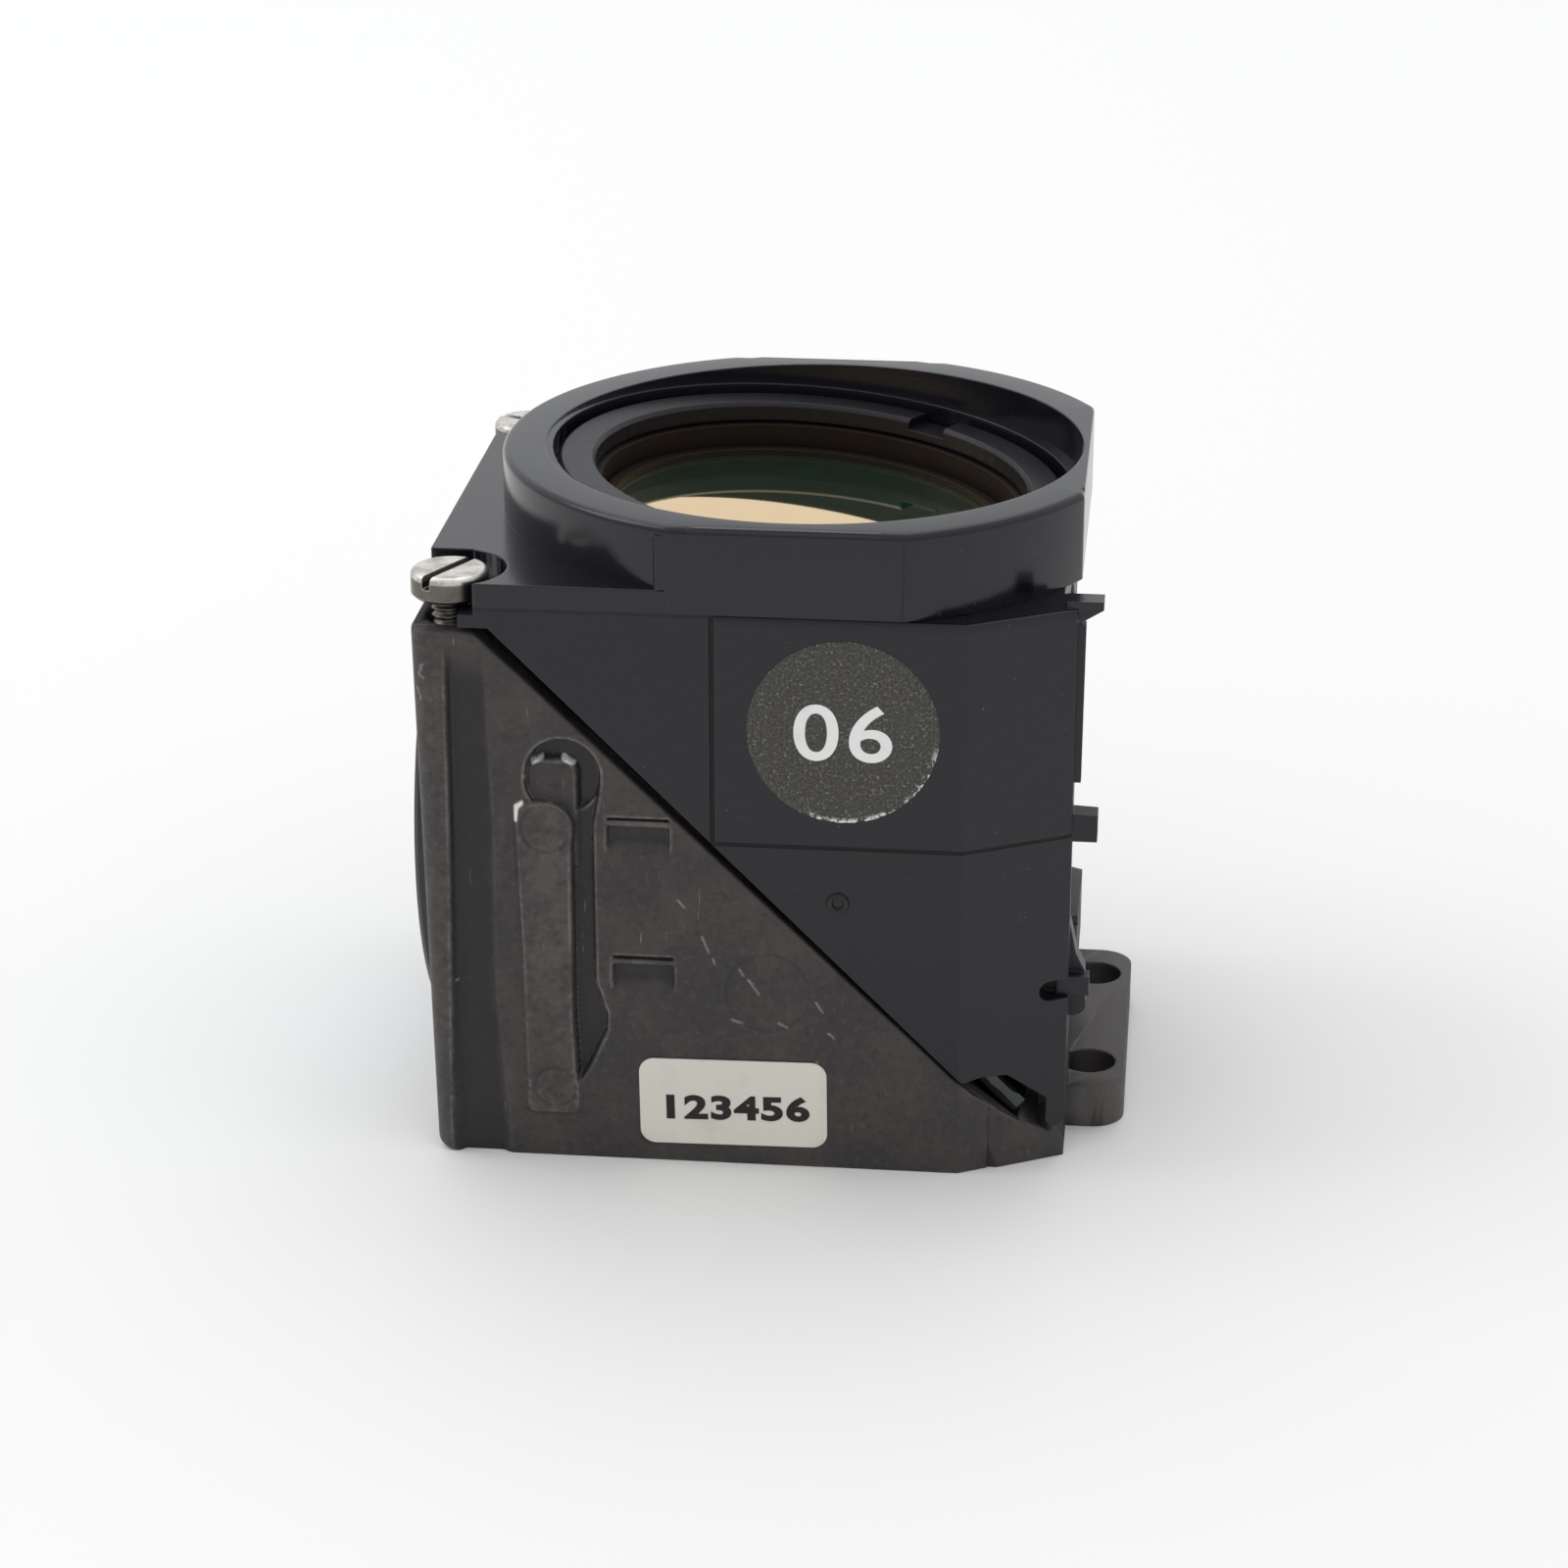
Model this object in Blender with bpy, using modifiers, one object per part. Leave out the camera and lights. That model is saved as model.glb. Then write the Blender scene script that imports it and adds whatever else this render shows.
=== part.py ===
"""Reflector module of a fluorescence microscope: a filter cube in two halves.

A die-cast half carries the emission filter in its left wall, a moulded half carries the
excitation filter in its top wall, and the beamsplitter lies on the diagonal between them.
Frame: +X towards the open objective port, front face at -Y, +Z up, origin under the middle.
"""
import math

import bmesh
import bpy
from mathutils import Matrix, Vector

MM = 0.001
OBJECT_NAME = "filter_cube"

# ---- driving sizes, millimetres ----
DEPTH = 30.0              # front face to back face
HEIGHT = 34.5             # base to the top of the filter rim
LEFT_X = -17.76           # left face at the land
FOOT_DRAFT = 0.55         # how far the left face leans in at the base
RIGHT_X = 15.2            # right face of the front post
CREASE_X = 9.87           # where the front face turns back towards the right face
CORNER_BACK = 2.9         # how far the angled corner runs back
LEFT_CORNER_R = 1.0       # rounding of the left upright edges
CAST_EDGE = 0.2           # edge rounding of the die-cast half
GAP = 0.3                 # clearance between pieces that meet
FIT = 0.12                # clearance inside a filter stack and under it

# filters and their threaded retaining rings
FILTER_R = 12.5           # outer radius of a mounted filter
FILTER_T = 3.0            # its thickness
RING_OVER = 0.7           # thread radius beyond the filter radius
RING_WALL = 1.95          # radial width of a retaining ring
RING_T = 1.0              # retaining ring thickness, excitation side
RING_NOTCH_W = 2.2        # spanner notch width
SEAT_OVER = 1.2           # how far a filter seat reaches in under the filter
GLASS_WALL = 1.6          # radial wall of the filter mount
GLASS_T = 0.9             # thickness of each filter glass
SPACER_T = 0.3            # spacer between the two glasses
LIP_T = 0.4               # turned-in lip of the filter mount
LIP_OVER = 0.7            # how far that lip covers the glass

# excitation side
AXIS_X = 1.0              # excitation axis
TILT = math.radians(4.7)  # lean of the excitation filter about Y
RIM_WALL = 2.2            # rim wall outside the counterbore
COUNTERBORE_H = 1.2       # depth of the counterbore at the axis
COUNTERBORE_OVER = 0.4    # its radius beyond the thread
RING_DROP = 1.6           # retaining ring face below the rim top
RIM_CHAMFER = 0.5
LEDGE_DROP_L = 3.25       # left ledge below the rim top
LEDGE_DROP_R = 4.5        # right ledge below the rim top
SLAB_T = 3.8              # top wall under the right ledge

# diagonal joint and beamsplitter
PLATE_L = 36.0
PLATE_W = 25.5
PLATE_T = 1.0
PLATE_INSET = 2.6         # its lower end from the right face, on the diagonal edge
EAR_DROP = 5.55           # underside of the ears below the rim top
EAR_END_X = -13.75        # where the ears' underside meets the diagonal
EAR_T = 0.65
PARTING = 0.6             # opening of the parting gap at its upper end
RAIL_HALF = 11.0          # half distance between the side walls' inner faces
SPRING_T = 0.25
SPRING_W = 1.4
SPRING_L = 24.0

# emission side
EM_RING_T = 1.6           # retaining ring thickness, emission side
EM_RING_PROUD = 0.7       # how far it stands out of the left face
WALL_LEFT = 5.7           # thickness of the left wall
WALL_BOTTOM = 2.6
WALL_RIGHT = 2.0

# clamp screws
SCREW_HEAD_R = 1.95
SCREW_HEAD_T = 1.4
SCREW_SHANK_R = 0.95
SCREW_LENGTH = 5.4
SLOT_W = 0.5
SLOT_D = 0.65
SLOT_TURN = math.radians(62.0)
SCREW_INSET_X = 1.76      # screw axis from the left face
SCREW_INSET_Y = 2.4       # screw axis from the front face
POCKET_R = 2.85           # head pocket in the ledge

# base flange, hook and guide prongs
FLANGE_X = 18.2
FLANGE_HALF = 8.75
FLANGE_T = 2.3
FLANGE_R = 1.7
FLANGE_HOLE_R = 1.45
FLANGE_HOLE_Y = 5.6
TAIL_W = 0.95             # thickness of the hook tail
HOOK_Z = 2.25             # height of the hook's centre
PRONG_OUT = 1.25          # how far the prongs stand out of the right face
PRONG_W = 1.3
PRONG_RISE = 0.35         # top of the upper prong above the right ledge
LUG_DROP = 6.0            # lug centre below the emission axis
LUG_H = 1.0
LUG_SLOT_R = 0.55         # round end of the slot behind the lug
NOTCH_TURN = {"excitation": 62.0, "emission": 20.0}

# labels
DISC_R = 4.5
LABEL_T = 0.12
TAG_L = 9.1
TAG_H = 4.3
LABEL_D = 0.4             # depth of the label recesses
LABEL_SEAT = 0.03         # how far a label lies behind the front face
DISC_INSET = 6.0          # disc centre from the crease
DISC_DROP = 5.82          # disc centre below the right ledge
TAG_INSET = 11.57         # tag centre from the crease
TAG_Z = 3.48              # tag centre above the base

# cast relief of the front face
BAR_INSET = 6.4           # boss bar from the left face
BAR_RISE = 3.1            # upper boss above the emission axis
BAR_FALL = 11.4           # lower boss below it
BOSS_R = 1.15
BOSS_LOW_R = 1.0
RELIEF_D = 0.55           # depth of the sunk field around the bar
BAR_D = 0.12              # how far the bar's face lies behind the front face
STEP_D = 0.3
STEP_L = 3.25
STEP_H = 1.6

# mesh
ROUND = 72                # sides of a large round
SMOOTH = math.radians(30.0)

# ---- sizes that follow ----
HALF = DEPTH / 2.0
CORNER_Y = HALF - CORNER_BACK
THREAD_R = FILTER_R + RING_OVER + GAP
RING_R = THREAD_R - GAP
RING_HOLE_R = RING_R - RING_WALL
BORE_R = FILTER_R + GAP
SEAT_R = FILTER_R - SEAT_OVER
RIM_R = THREAD_R + COUNTERBORE_OVER + RIM_WALL
LEDGE_L = HEIGHT - LEDGE_DROP_L
LEDGE_R = HEIGHT - LEDGE_DROP_R
EAR_Z = HEIGHT - EAR_DROP
LAND_Z = EAR_Z - GAP
DIAG = EAR_END_X + EAR_Z                   # x + z of the moulded half's diagonal edge
ROOT2 = math.sqrt(2.0)
PLATE_LOW = DIAG - 0.12                    # x + z of the beamsplitter's lower face
PLATE_HIGH = PLATE_LOW + PLATE_T * ROOT2
SHOULDER = PLATE_HIGH + GAP
RAIL = PLATE_LOW - (SPRING_T + 2.0 * GAP) * ROOT2
PLATE_END = 2.0 * (RIGHT_X - PLATE_INSET) - DIAG       # x - z of its lower end
PLATE_TOP = PLATE_END - PLATE_L * ROOT2    # x - z of its upper end
EM_Z = PLATE_HIGH - AXIS_X                 # the emission axis meets the excitation axis on the plate
EM_FACE_X = LEFT_X + FOOT_DRAFT * (1.0 - EM_Z / LAND_Z)
EM_RING_X = EM_FACE_X - EM_RING_PROUD
EM_FILTER_X = EM_RING_X + EM_RING_T + FIT
SCREW_X = LEFT_X + SCREW_INSET_X
SCREW_Y = HALF - SCREW_INSET_Y
FLOOR_Z = EAR_Z + EAR_T
HEAD_Z = FLOOR_Z + 0.25
HOOK_X = RIGHT_X - TAIL_W / 2.0
CORNER_Z = DIAG - CREASE_X - 0.18          # lower front corner of the moulded half
INNER_LEFT = LEFT_X + WALL_LEFT + 0.2
INNER_RIGHT = RIGHT_X - WALL_RIGHT
PLATE_HALF = PLATE_W / 2.0 + GAP
LUG_Z = EM_Z - LUG_DROP
DISC_X = CREASE_X - DISC_INSET
DISC_Z = LEDGE_R - DISC_DROP
TAG_X = CREASE_X - TAG_INSET


# ---- tools ----
def clear_scene():
    for item in list(bpy.data.objects):
        bpy.data.objects.remove(item, do_unlink=True)


def new_collection(name):
    group = bpy.data.collections.new(name)
    bpy.context.scene.collection.children.link(group)
    return group


def move_to(item, group):
    for owner in list(item.users_collection):
        owner.objects.unlink(item)
    group.objects.link(item)


def as_cutter(item):
    move_to(item, CUTTERS)
    item.hide_render = True
    item.display_type = "WIRE"
    return item


def prism(name, points, plane, low, high):
    """Extrude a flat outline: plane XZ along Y, XY along Z, YZ along X, from low to high (mm)."""
    curve = bpy.data.curves.new(name, "CURVE")
    curve.dimensions = "2D"
    curve.fill_mode = "BOTH"
    curve.extrude = (high - low) / 2.0 * MM
    spline = curve.splines.new("POLY")
    spline.points.add(len(points) - 1)
    for point, (u, v) in zip(spline.points, points):
        point.co = (u * MM, v * MM, 0.0, 1.0)
    spline.use_cyclic_u = True
    source = bpy.data.objects.new(name + "_outline", curve)
    PARTS.objects.link(source)
    middle = (low + high) / 2.0 * MM
    if plane == "XZ":
        source.rotation_euler = (math.pi / 2, 0.0, 0.0)
        source.location = (0.0, middle, 0.0)
    elif plane == "YZ":
        source.rotation_euler = (math.pi / 2, 0.0, math.pi / 2)
        source.location = (middle, 0.0, 0.0)
    else:
        source.location = (0.0, 0.0, middle)
    return solid_from_curve(source, name)


def solid_from_curve(source, name):
    bpy.context.view_layer.update()
    graph = bpy.context.evaluated_depsgraph_get()
    mesh = bpy.data.meshes.new_from_object(source.evaluated_get(graph))
    work = bmesh.new()
    work.from_mesh(mesh)
    bmesh.ops.remove_doubles(work, verts=work.verts, dist=1e-6)
    bmesh.ops.recalc_face_normals(work, faces=work.faces)
    work.to_mesh(mesh)
    work.free()
    item = bpy.data.objects.new(name, mesh)
    item.matrix_world = source.matrix_world.copy()
    PARTS.objects.link(item)
    bpy.data.objects.remove(source, do_unlink=True)
    return item


def box(name, x, y, z):
    """A block between pairs of bounds (mm)."""
    centre = [sum(pair) / 2.0 * MM for pair in (x, y, z)]
    size = [(pair[1] - pair[0]) * MM for pair in (x, y, z)]
    bpy.ops.mesh.primitive_cube_add(size=1.0, location=centre)
    item = bpy.context.active_object
    item.name = name
    item.data.transform(scale_matrix(size))
    move_to(item, PARTS)
    return item


def scale_matrix(size):
    matrix = [[0.0] * 4 for _ in range(4)]
    for index in range(3):
        matrix[index][index] = size[index]
    matrix[3][3] = 1.0
    return Matrix(matrix)


def cylinder(name, radius, low, high, axis, centre, sides=ROUND):
    """A round bar along axis X, Y or Z; centre gives the other two coordinates (mm)."""
    middle = (low + high) / 2.0
    turn = {"X": (0.0, math.pi / 2, 0.0), "Y": (math.pi / 2, 0.0, 0.0), "Z": (0.0, 0.0, 0.0)}[axis]
    place = {"X": (middle, *centre), "Y": (centre[0], middle, centre[1]), "Z": (*centre, middle)}[axis]
    bpy.ops.mesh.primitive_cylinder_add(vertices=sides, radius=radius * MM, depth=(high - low) * MM,
                                        location=[value * MM for value in place], rotation=turn)
    item = bpy.context.active_object
    item.name = name
    move_to(item, PARTS)
    return item


def turned(name, profile, origin, rotation=(0.0, 0.0, 0.0), sides=ROUND, closed=True):
    """Spin an (r, z) profile about Z; it runs down the outer side first (mm)."""
    mesh = bpy.data.meshes.new(name)
    points = [(radius * MM, 0.0, height * MM) for radius, height in profile]
    count = len(points)
    edges = [(index, index + 1) for index in range(count - 1)]
    if closed:
        edges.append((count - 1, 0))
    mesh.from_pydata(points, edges, [])
    item = bpy.data.objects.new(name, mesh)
    PARTS.objects.link(item)
    item.location = [value * MM for value in origin]
    item.rotation_euler = rotation
    spin = item.modifiers.new("spin", "SCREW")
    spin.axis = "Z"
    spin.angle = 2.0 * math.pi
    spin.steps = sides
    spin.render_steps = sides
    spin.use_merge_vertices = True
    spin.merge_threshold = 0.000001
    spin.use_smooth_shade = False
    return item


def boolean(item, other, operation):
    step = item.modifiers.new(operation.lower(), "BOOLEAN")
    step.operation = operation
    step.object = other
    step.solver = "EXACT"
    as_cutter(other)


def cut(item, *others):
    for other in others:
        boolean(item, other, "DIFFERENCE")


def join(item, *others):
    for other in others:
        boolean(item, other, "UNION")


def keep(item, other):
    boolean(item, other, "INTERSECT")


def bevel(item, width, segments=2, angle=35.0):
    step = item.modifiers.new("edge", "BEVEL")
    step.width = width * MM
    step.segments = segments
    step.limit_method = "ANGLE"
    step.angle_limit = math.radians(angle)
    step.use_clamp_overlap = True
    step.harden_normals = False


def arc(centre, radius, start, end, steps):
    """Points of an arc, angles in degrees."""
    points = []
    for index in range(steps + 1):
        angle = math.radians(start + (end - start) * index / steps)
        points.append((centre[0] + radius * math.cos(angle), centre[1] + radius * math.sin(angle)))
    return points


def diagonal_block(name, low_sum, high_sum, low_diff, high_diff, half_width):
    """A slanted block with x + z and x - z between the given bounds."""
    corners = ((low_sum, low_diff), (high_sum, low_diff), (high_sum, high_diff), (low_sum, high_diff))
    points = [((total + diff) / 2.0, (total - diff) / 2.0) for total, diff in corners]
    return prism(name, points, "XZ", -half_width, half_width)


def finish(item, colour, roughness, metallic=0.0):
    """Replace the modifiers by their result, shade the rounds smooth and give the material."""
    bpy.context.view_layer.update()
    graph = bpy.context.evaluated_depsgraph_get()
    mesh = bpy.data.meshes.new_from_object(item.evaluated_get(graph))
    item.modifiers.clear()
    item.data = mesh
    mesh.shade_smooth()
    mesh.set_sharp_from_angle(angle=SMOOTH)
    material = bpy.data.materials.new(item.name)
    material.use_nodes = True
    shader = material.node_tree.nodes["Principled BSDF"]
    shader.inputs["Base Color"].default_value = (*colour, 1.0)
    shader.inputs["Roughness"].default_value = roughness
    shader.inputs["Metallic"].default_value = metallic
    item.data.materials.clear()
    item.data.materials.append(material)
    return item


def attach(parent, *items):
    """Parent pieces to the one that carries them, leaving them where they are."""
    bpy.context.view_layer.update()
    for item in items:
        item.parent = parent
        item.matrix_parent_inverse = parent.matrix_world.inverted()


def recentre(item, point):
    """Put the object's origin at a point (mm) and leave its shape where it is."""
    bpy.context.view_layer.update()
    target = Vector(value * MM for value in point)
    world = item.matrix_world.copy()
    item.data.transform(Matrix.Translation(-target) @ world)
    item.matrix_world = Matrix.Translation(target)


# ---- shared outlines ----
def plan_outline(low, high):
    """The body's outline from above: rounded left corners, angled right corners."""
    left = LEFT_X
    r = LEFT_CORNER_R
    points = arc((left + r, -HALF + r), r, 180.0, 270.0, 6)
    points += [(CREASE_X, -HALF), (RIGHT_X, -CORNER_Y), (RIGHT_X, CORNER_Y), (CREASE_X, HALF)]
    points += arc((left + r, HALF - r), r, 90.0, 180.0, 6)
    return prism("plan", points, "XY", low, high)


def filter_frame(side):
    """Origin and rotation that carry a stack whose +Z points out of the module."""
    if side == "excitation":
        return (AXIS_X, 0.0, HEIGHT), (0.0, TILT, 0.0)
    return (0.0, 0.0, EM_Z), (0.0, -math.pi / 2, 0.0)


# ---- die-cast half ----
def emission_housing():
    hook_low = CORNER_Z - 0.15
    outline = arc((LEFT_X + FOOT_DRAFT + 0.6, 0.6), 0.6, 180.0, 270.0, 4)
    outline += [(RIGHT_X, 0.0), (RIGHT_X - 0.2, 0.95), (RIGHT_X - 1.1, 1.7)]
    outline += [(CREASE_X + 3.1, 2.35), (CREASE_X + 0.6, hook_low - 0.65), (CREASE_X + 0.05, hook_low)]
    outline += [(EAR_END_X - 0.2 - PARTING, LAND_Z), (LEFT_X, LAND_Z)]
    body = prism("emission_housing", outline, "XZ", -HALF, HALF)
    bevel(body, CAST_EDGE)
    keep(body, plan_outline(-1.0, HEIGHT))
    crest_in = EAR_END_X - 1.45
    crest_top = LEDGE_L - 0.65 - GAP
    crest_half = SCREW_Y - POCKET_R - 0.15
    crest = prism("crest", [(LEFT_X, LAND_Z - 1.0), (crest_in, LAND_Z - 1.0), (crest_in, crest_top),
                            (LEFT_X + 0.4, crest_top), (LEFT_X, crest_top - 0.4)],
                  "XZ", -crest_half, crest_half)
    toe_in = RIGHT_X - 1.3
    toe = box("toe", (toe_in, RIGHT_X - 0.02), (-FLANGE_HALF, FLANGE_HALF), (0.0, CORNER_Z - 0.1))
    join(body, crest, toe, flange())
    cavity = box("cavity", (INNER_LEFT, toe_in), (-RAIL_HALF, RAIL_HALF), (WALL_BOTTOM, HEIGHT))
    pocket = diagonal_block("plate_pocket", RAIL, SHOULDER, PLATE_TOP - GAP * ROOT2,
                            PLATE_END + GAP * ROOT2, PLATE_HALF)
    cut(body, cavity, pocket)
    for sign in (-1.0, 1.0):
        side = sorted((sign * (FLANGE_HALF + 0.01), sign * (CORNER_Y + GAP)))
        cut(body, box("tail_room", (RIGHT_X - TAIL_W - 0.5, RIGHT_X + 1.0), side,
                      (HOOK_Z - TAIL_W / 2.0 - GAP, 2.0 * CORNER_Z)))
    thread = cylinder("em_thread", THREAD_R, LEFT_X - 2.0, EM_RING_X + EM_RING_T + FIT, "X", (0.0, EM_Z))
    bore = cylinder("em_bore", BORE_R, LEFT_X - 2.0, EM_FILTER_X + FILTER_T + FIT, "X", (0.0, EM_Z))
    window = cylinder("em_window", SEAT_R, LEFT_X - 2.0, INNER_LEFT + 1.0, "X", (0.0, EM_Z))
    cut(body, thread, bore, window)
    for sign in (-1.0, 1.0):
        hole = cylinder("screw_hole", SCREW_SHANK_R + GAP, HEAD_Z - SCREW_LENGTH - GAP, HEIGHT, "Z",
                        (SCREW_X, sign * SCREW_Y), 24)
        cut(body, hole)
    front_relief(body)
    return finish(body, (0.052, 0.046, 0.042), 0.5, 0.6)


def flange():
    points = [(RIGHT_X - 1.3, -FLANGE_HALF)]
    points += arc((FLANGE_X - FLANGE_R, -FLANGE_HALF + FLANGE_R), FLANGE_R, 270.0, 360.0, 8)
    points += arc((FLANGE_X - FLANGE_R, FLANGE_HALF - FLANGE_R), FLANGE_R, 0.0, 90.0, 8)
    points += [(RIGHT_X - 1.3, FLANGE_HALF)]
    plate = prism("flange", points, "XY", 0.0, FLANGE_T)
    for sign in (-1.0, 1.0):
        cut(plate, cylinder("flange_hole", FLANGE_HOLE_R, -1.0, FLANGE_T + 1.0, "Z",
                            (RIGHT_X + 1.0, sign * FLANGE_HOLE_Y), 32))
    return plate


def front_relief(body):
    """Cast relief of the front face: a ribbed boss bar, two steps and the tag recess."""
    face = -HALF
    bar_x = LEFT_X + BAR_INSET
    boss_z = EM_Z + BAR_RISE
    foot_z = EM_Z - BAR_FALL
    hollow = [(bar_x - 1.7, EM_Z + 6.2)]
    hollow += arc((bar_x, boss_z + 3.0), 1.75, 150.0, 20.0, 6)
    hollow += [(bar_x + 1.45, boss_z), (bar_x + 2.4, boss_z - 10.6), (bar_x + 1.6, foot_z - 0.1)]
    hollow += arc((bar_x - 0.1, foot_z - 0.2), 1.4, 340.0, 200.0, 5)
    hollow += [(bar_x - 1.25, boss_z - 2.0)]
    sunk = prism("bar_hollow", hollow, "XZ", face - 1.0, face + RELIEF_D)
    bar = prism("bar", [(bar_x - 1.0, foot_z), (bar_x + 0.9, foot_z), (bar_x + 0.75, boss_z),
                        (bar_x - 0.75, boss_z)], "XZ", face + BAR_D, face + 2.0)
    upper = cylinder("boss_upper", BOSS_R, face, face + 2.0, "Y", (bar_x - 0.2, boss_z), 32)
    lower = cylinder("boss_lower", BOSS_LOW_R, face, face + 2.0, "Y", (bar_x - 0.1, foot_z), 32)
    cut(body, sunk)
    join(body, bar, upper, lower)
    for height in (EM_Z + 2.7, EM_Z - 5.0):
        cut(body, box("step", (bar_x + 2.3, bar_x + 2.3 + STEP_L), (face - 1.0, face + STEP_D),
                      (height - STEP_H, height)))
    tag = box("tag_recess", (TAG_X - TAG_L / 2 - GAP, TAG_X + TAG_L / 2 + GAP), (face - 1.0, face + LABEL_D),
              (TAG_Z - TAG_H / 2 - GAP, TAG_Z + TAG_H / 2 + GAP))
    cut(body, tag)


# ---- moulded half ----
def excitation_housing():
    tail_in = RIGHT_X - TAIL_W
    outline = [(LEFT_X + 0.31, EAR_Z), (EAR_END_X, EAR_Z), (CREASE_X + 0.18, CORNER_Z)]
    outline += [(CREASE_X + 1.1, CORNER_Z + 0.18), (CREASE_X + 2.4, CORNER_Z + 0.05)]
    outline += [(tail_in, CORNER_Z - 1.65)]
    outline += arc((HOOK_X, HOOK_Z), TAIL_W / 2.0, 180.0, 360.0, 8)
    outline += [(RIGHT_X, LEDGE_R), (AXIS_X, LEDGE_R), (AXIS_X, LEDGE_L), (LEFT_X + 0.31, LEDGE_L)]
    body = prism("excitation_housing", outline, "XZ", -HALF, HALF)
    keep(body, plan_outline(-1.0, HEIGHT))
    join(body, rim())
    crest_in = EAR_END_X - 1.05
    ear_half = SCREW_Y - POCKET_R
    under = box("crest_room", (LEFT_X - 1.0, crest_in), (-ear_half, ear_half), (EAR_Z - 1.0, LEDGE_L - 0.65))
    cut(body, under)
    for sign in (-1.0, 1.0):
        side = sorted((sign * ear_half, sign * (HALF + 1.0)))
        end = box("ear_end", (LEFT_X - 1.0, EAR_END_X - 1.5), side, (EAR_Z - 1.0, HEIGHT))
        head = cylinder("head_pocket", POCKET_R, FLOOR_Z, HEIGHT, "Z", (SCREW_X, sign * SCREW_Y), 48)
        notch = cylinder("ear_notch", SCREW_SHANK_R + 0.4, EAR_Z - 1.0, HEIGHT, "Z",
                         (SCREW_X, sign * SCREW_Y), 32)
        cut(body, end, head, notch)
    slab_low = LEDGE_R - SLAB_T
    inside = SHOULDER - 1.0
    cavity = prism("cavity", [(inside - slab_low, slab_low), (INNER_RIGHT, inside - INNER_RIGHT),
                              (INNER_RIGHT, slab_low)], "XZ", -RAIL_HALF, RAIL_HALF)
    pocket = diagonal_block("plate_room", DIAG - 4.0, SHOULDER, PLATE_TOP - GAP * ROOT2,
                            PLATE_END + GAP * ROOT2, PLATE_HALF)
    cut(body, cavity, pocket, excitation_bore())
    toe_room = box("toe_room", (RIGHT_X - 2.4, RIGHT_X + 1.0), (-FLANGE_HALF - GAP, FLANGE_HALF + GAP),
                   (-1.0, CORNER_Z + GAP))
    port = cylinder("port", FILTER_R - 1.3, INNER_RIGHT - 1.0, RIGHT_X + 1.0, "X", (0.0, EM_Z), 64)
    set_back = box("set_back", (RIGHT_X - 0.75, RIGHT_X + 1.0), (-CORNER_Y + 2.2, HALF),
                   (CORNER_Z + 2.0 * GAP, LEDGE_R + GAP))
    cut(body, toe_room, port, set_back)
    slot = prism("lug_slot", arc((RIGHT_X - 0.9, LUG_Z), LUG_SLOT_R, 90.0, 270.0, 8)
                 + [(RIGHT_X + 1.0, LUG_Z - LUG_SLOT_R), (RIGHT_X + 1.0, LUG_Z + LUG_SLOT_R)], "XZ",
                 -HALF - 1.0, -CORNER_Y + 0.7)
    cut(body, slot)
    join(body, *guide_prongs())
    cut(body, cylinder("disc_recess", DISC_R + GAP, -HALF - 1.0, -HALF + LABEL_D, "Y", (DISC_X, DISC_Z), 64))
    finish(body, (0.034, 0.034, 0.04), 0.42)
    recentre(body, (HOOK_X, 0.0, HOOK_Z))
    return body


def rim():
    """Round filter rim, trimmed flush with the front, back and right faces."""
    ring = turned("rim", [(0.0, HEIGHT), (RIM_R - RIM_CHAMFER, HEIGHT), (RIM_R, HEIGHT - RIM_CHAMFER),
                          (RIM_R, LEDGE_R - 1.0), (0.0, LEDGE_R - 1.0)], (AXIS_X, 0.0, 0.0), closed=False)
    keep(ring, box("rim_trim", (LEFT_X, RIGHT_X), (-HALF, HALF), (0.0, HEIGHT + 1.0)))
    return ring


def excitation_bore():
    """Stepped, tilted bore: counterbore, thread, filter bore and seat opening."""
    origin, rotation = filter_frame("excitation")
    seat = RING_DROP + RING_T + FIT + FILTER_T + FIT
    steps = [(0.0, 6.0), (THREAD_R + COUNTERBORE_OVER, 6.0), (THREAD_R + COUNTERBORE_OVER, -COUNTERBORE_H)]
    steps += [(THREAD_R, -COUNTERBORE_H), (THREAD_R, -RING_DROP - RING_T - FIT)]
    steps += [(BORE_R, -RING_DROP - RING_T - FIT), (BORE_R, -seat), (SEAT_R, -seat), (SEAT_R, -seat - 6.0)]
    steps += [(0.0, -seat - 6.0)]
    return turned("excitation_bore", steps, origin, rotation, closed=False)


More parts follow.
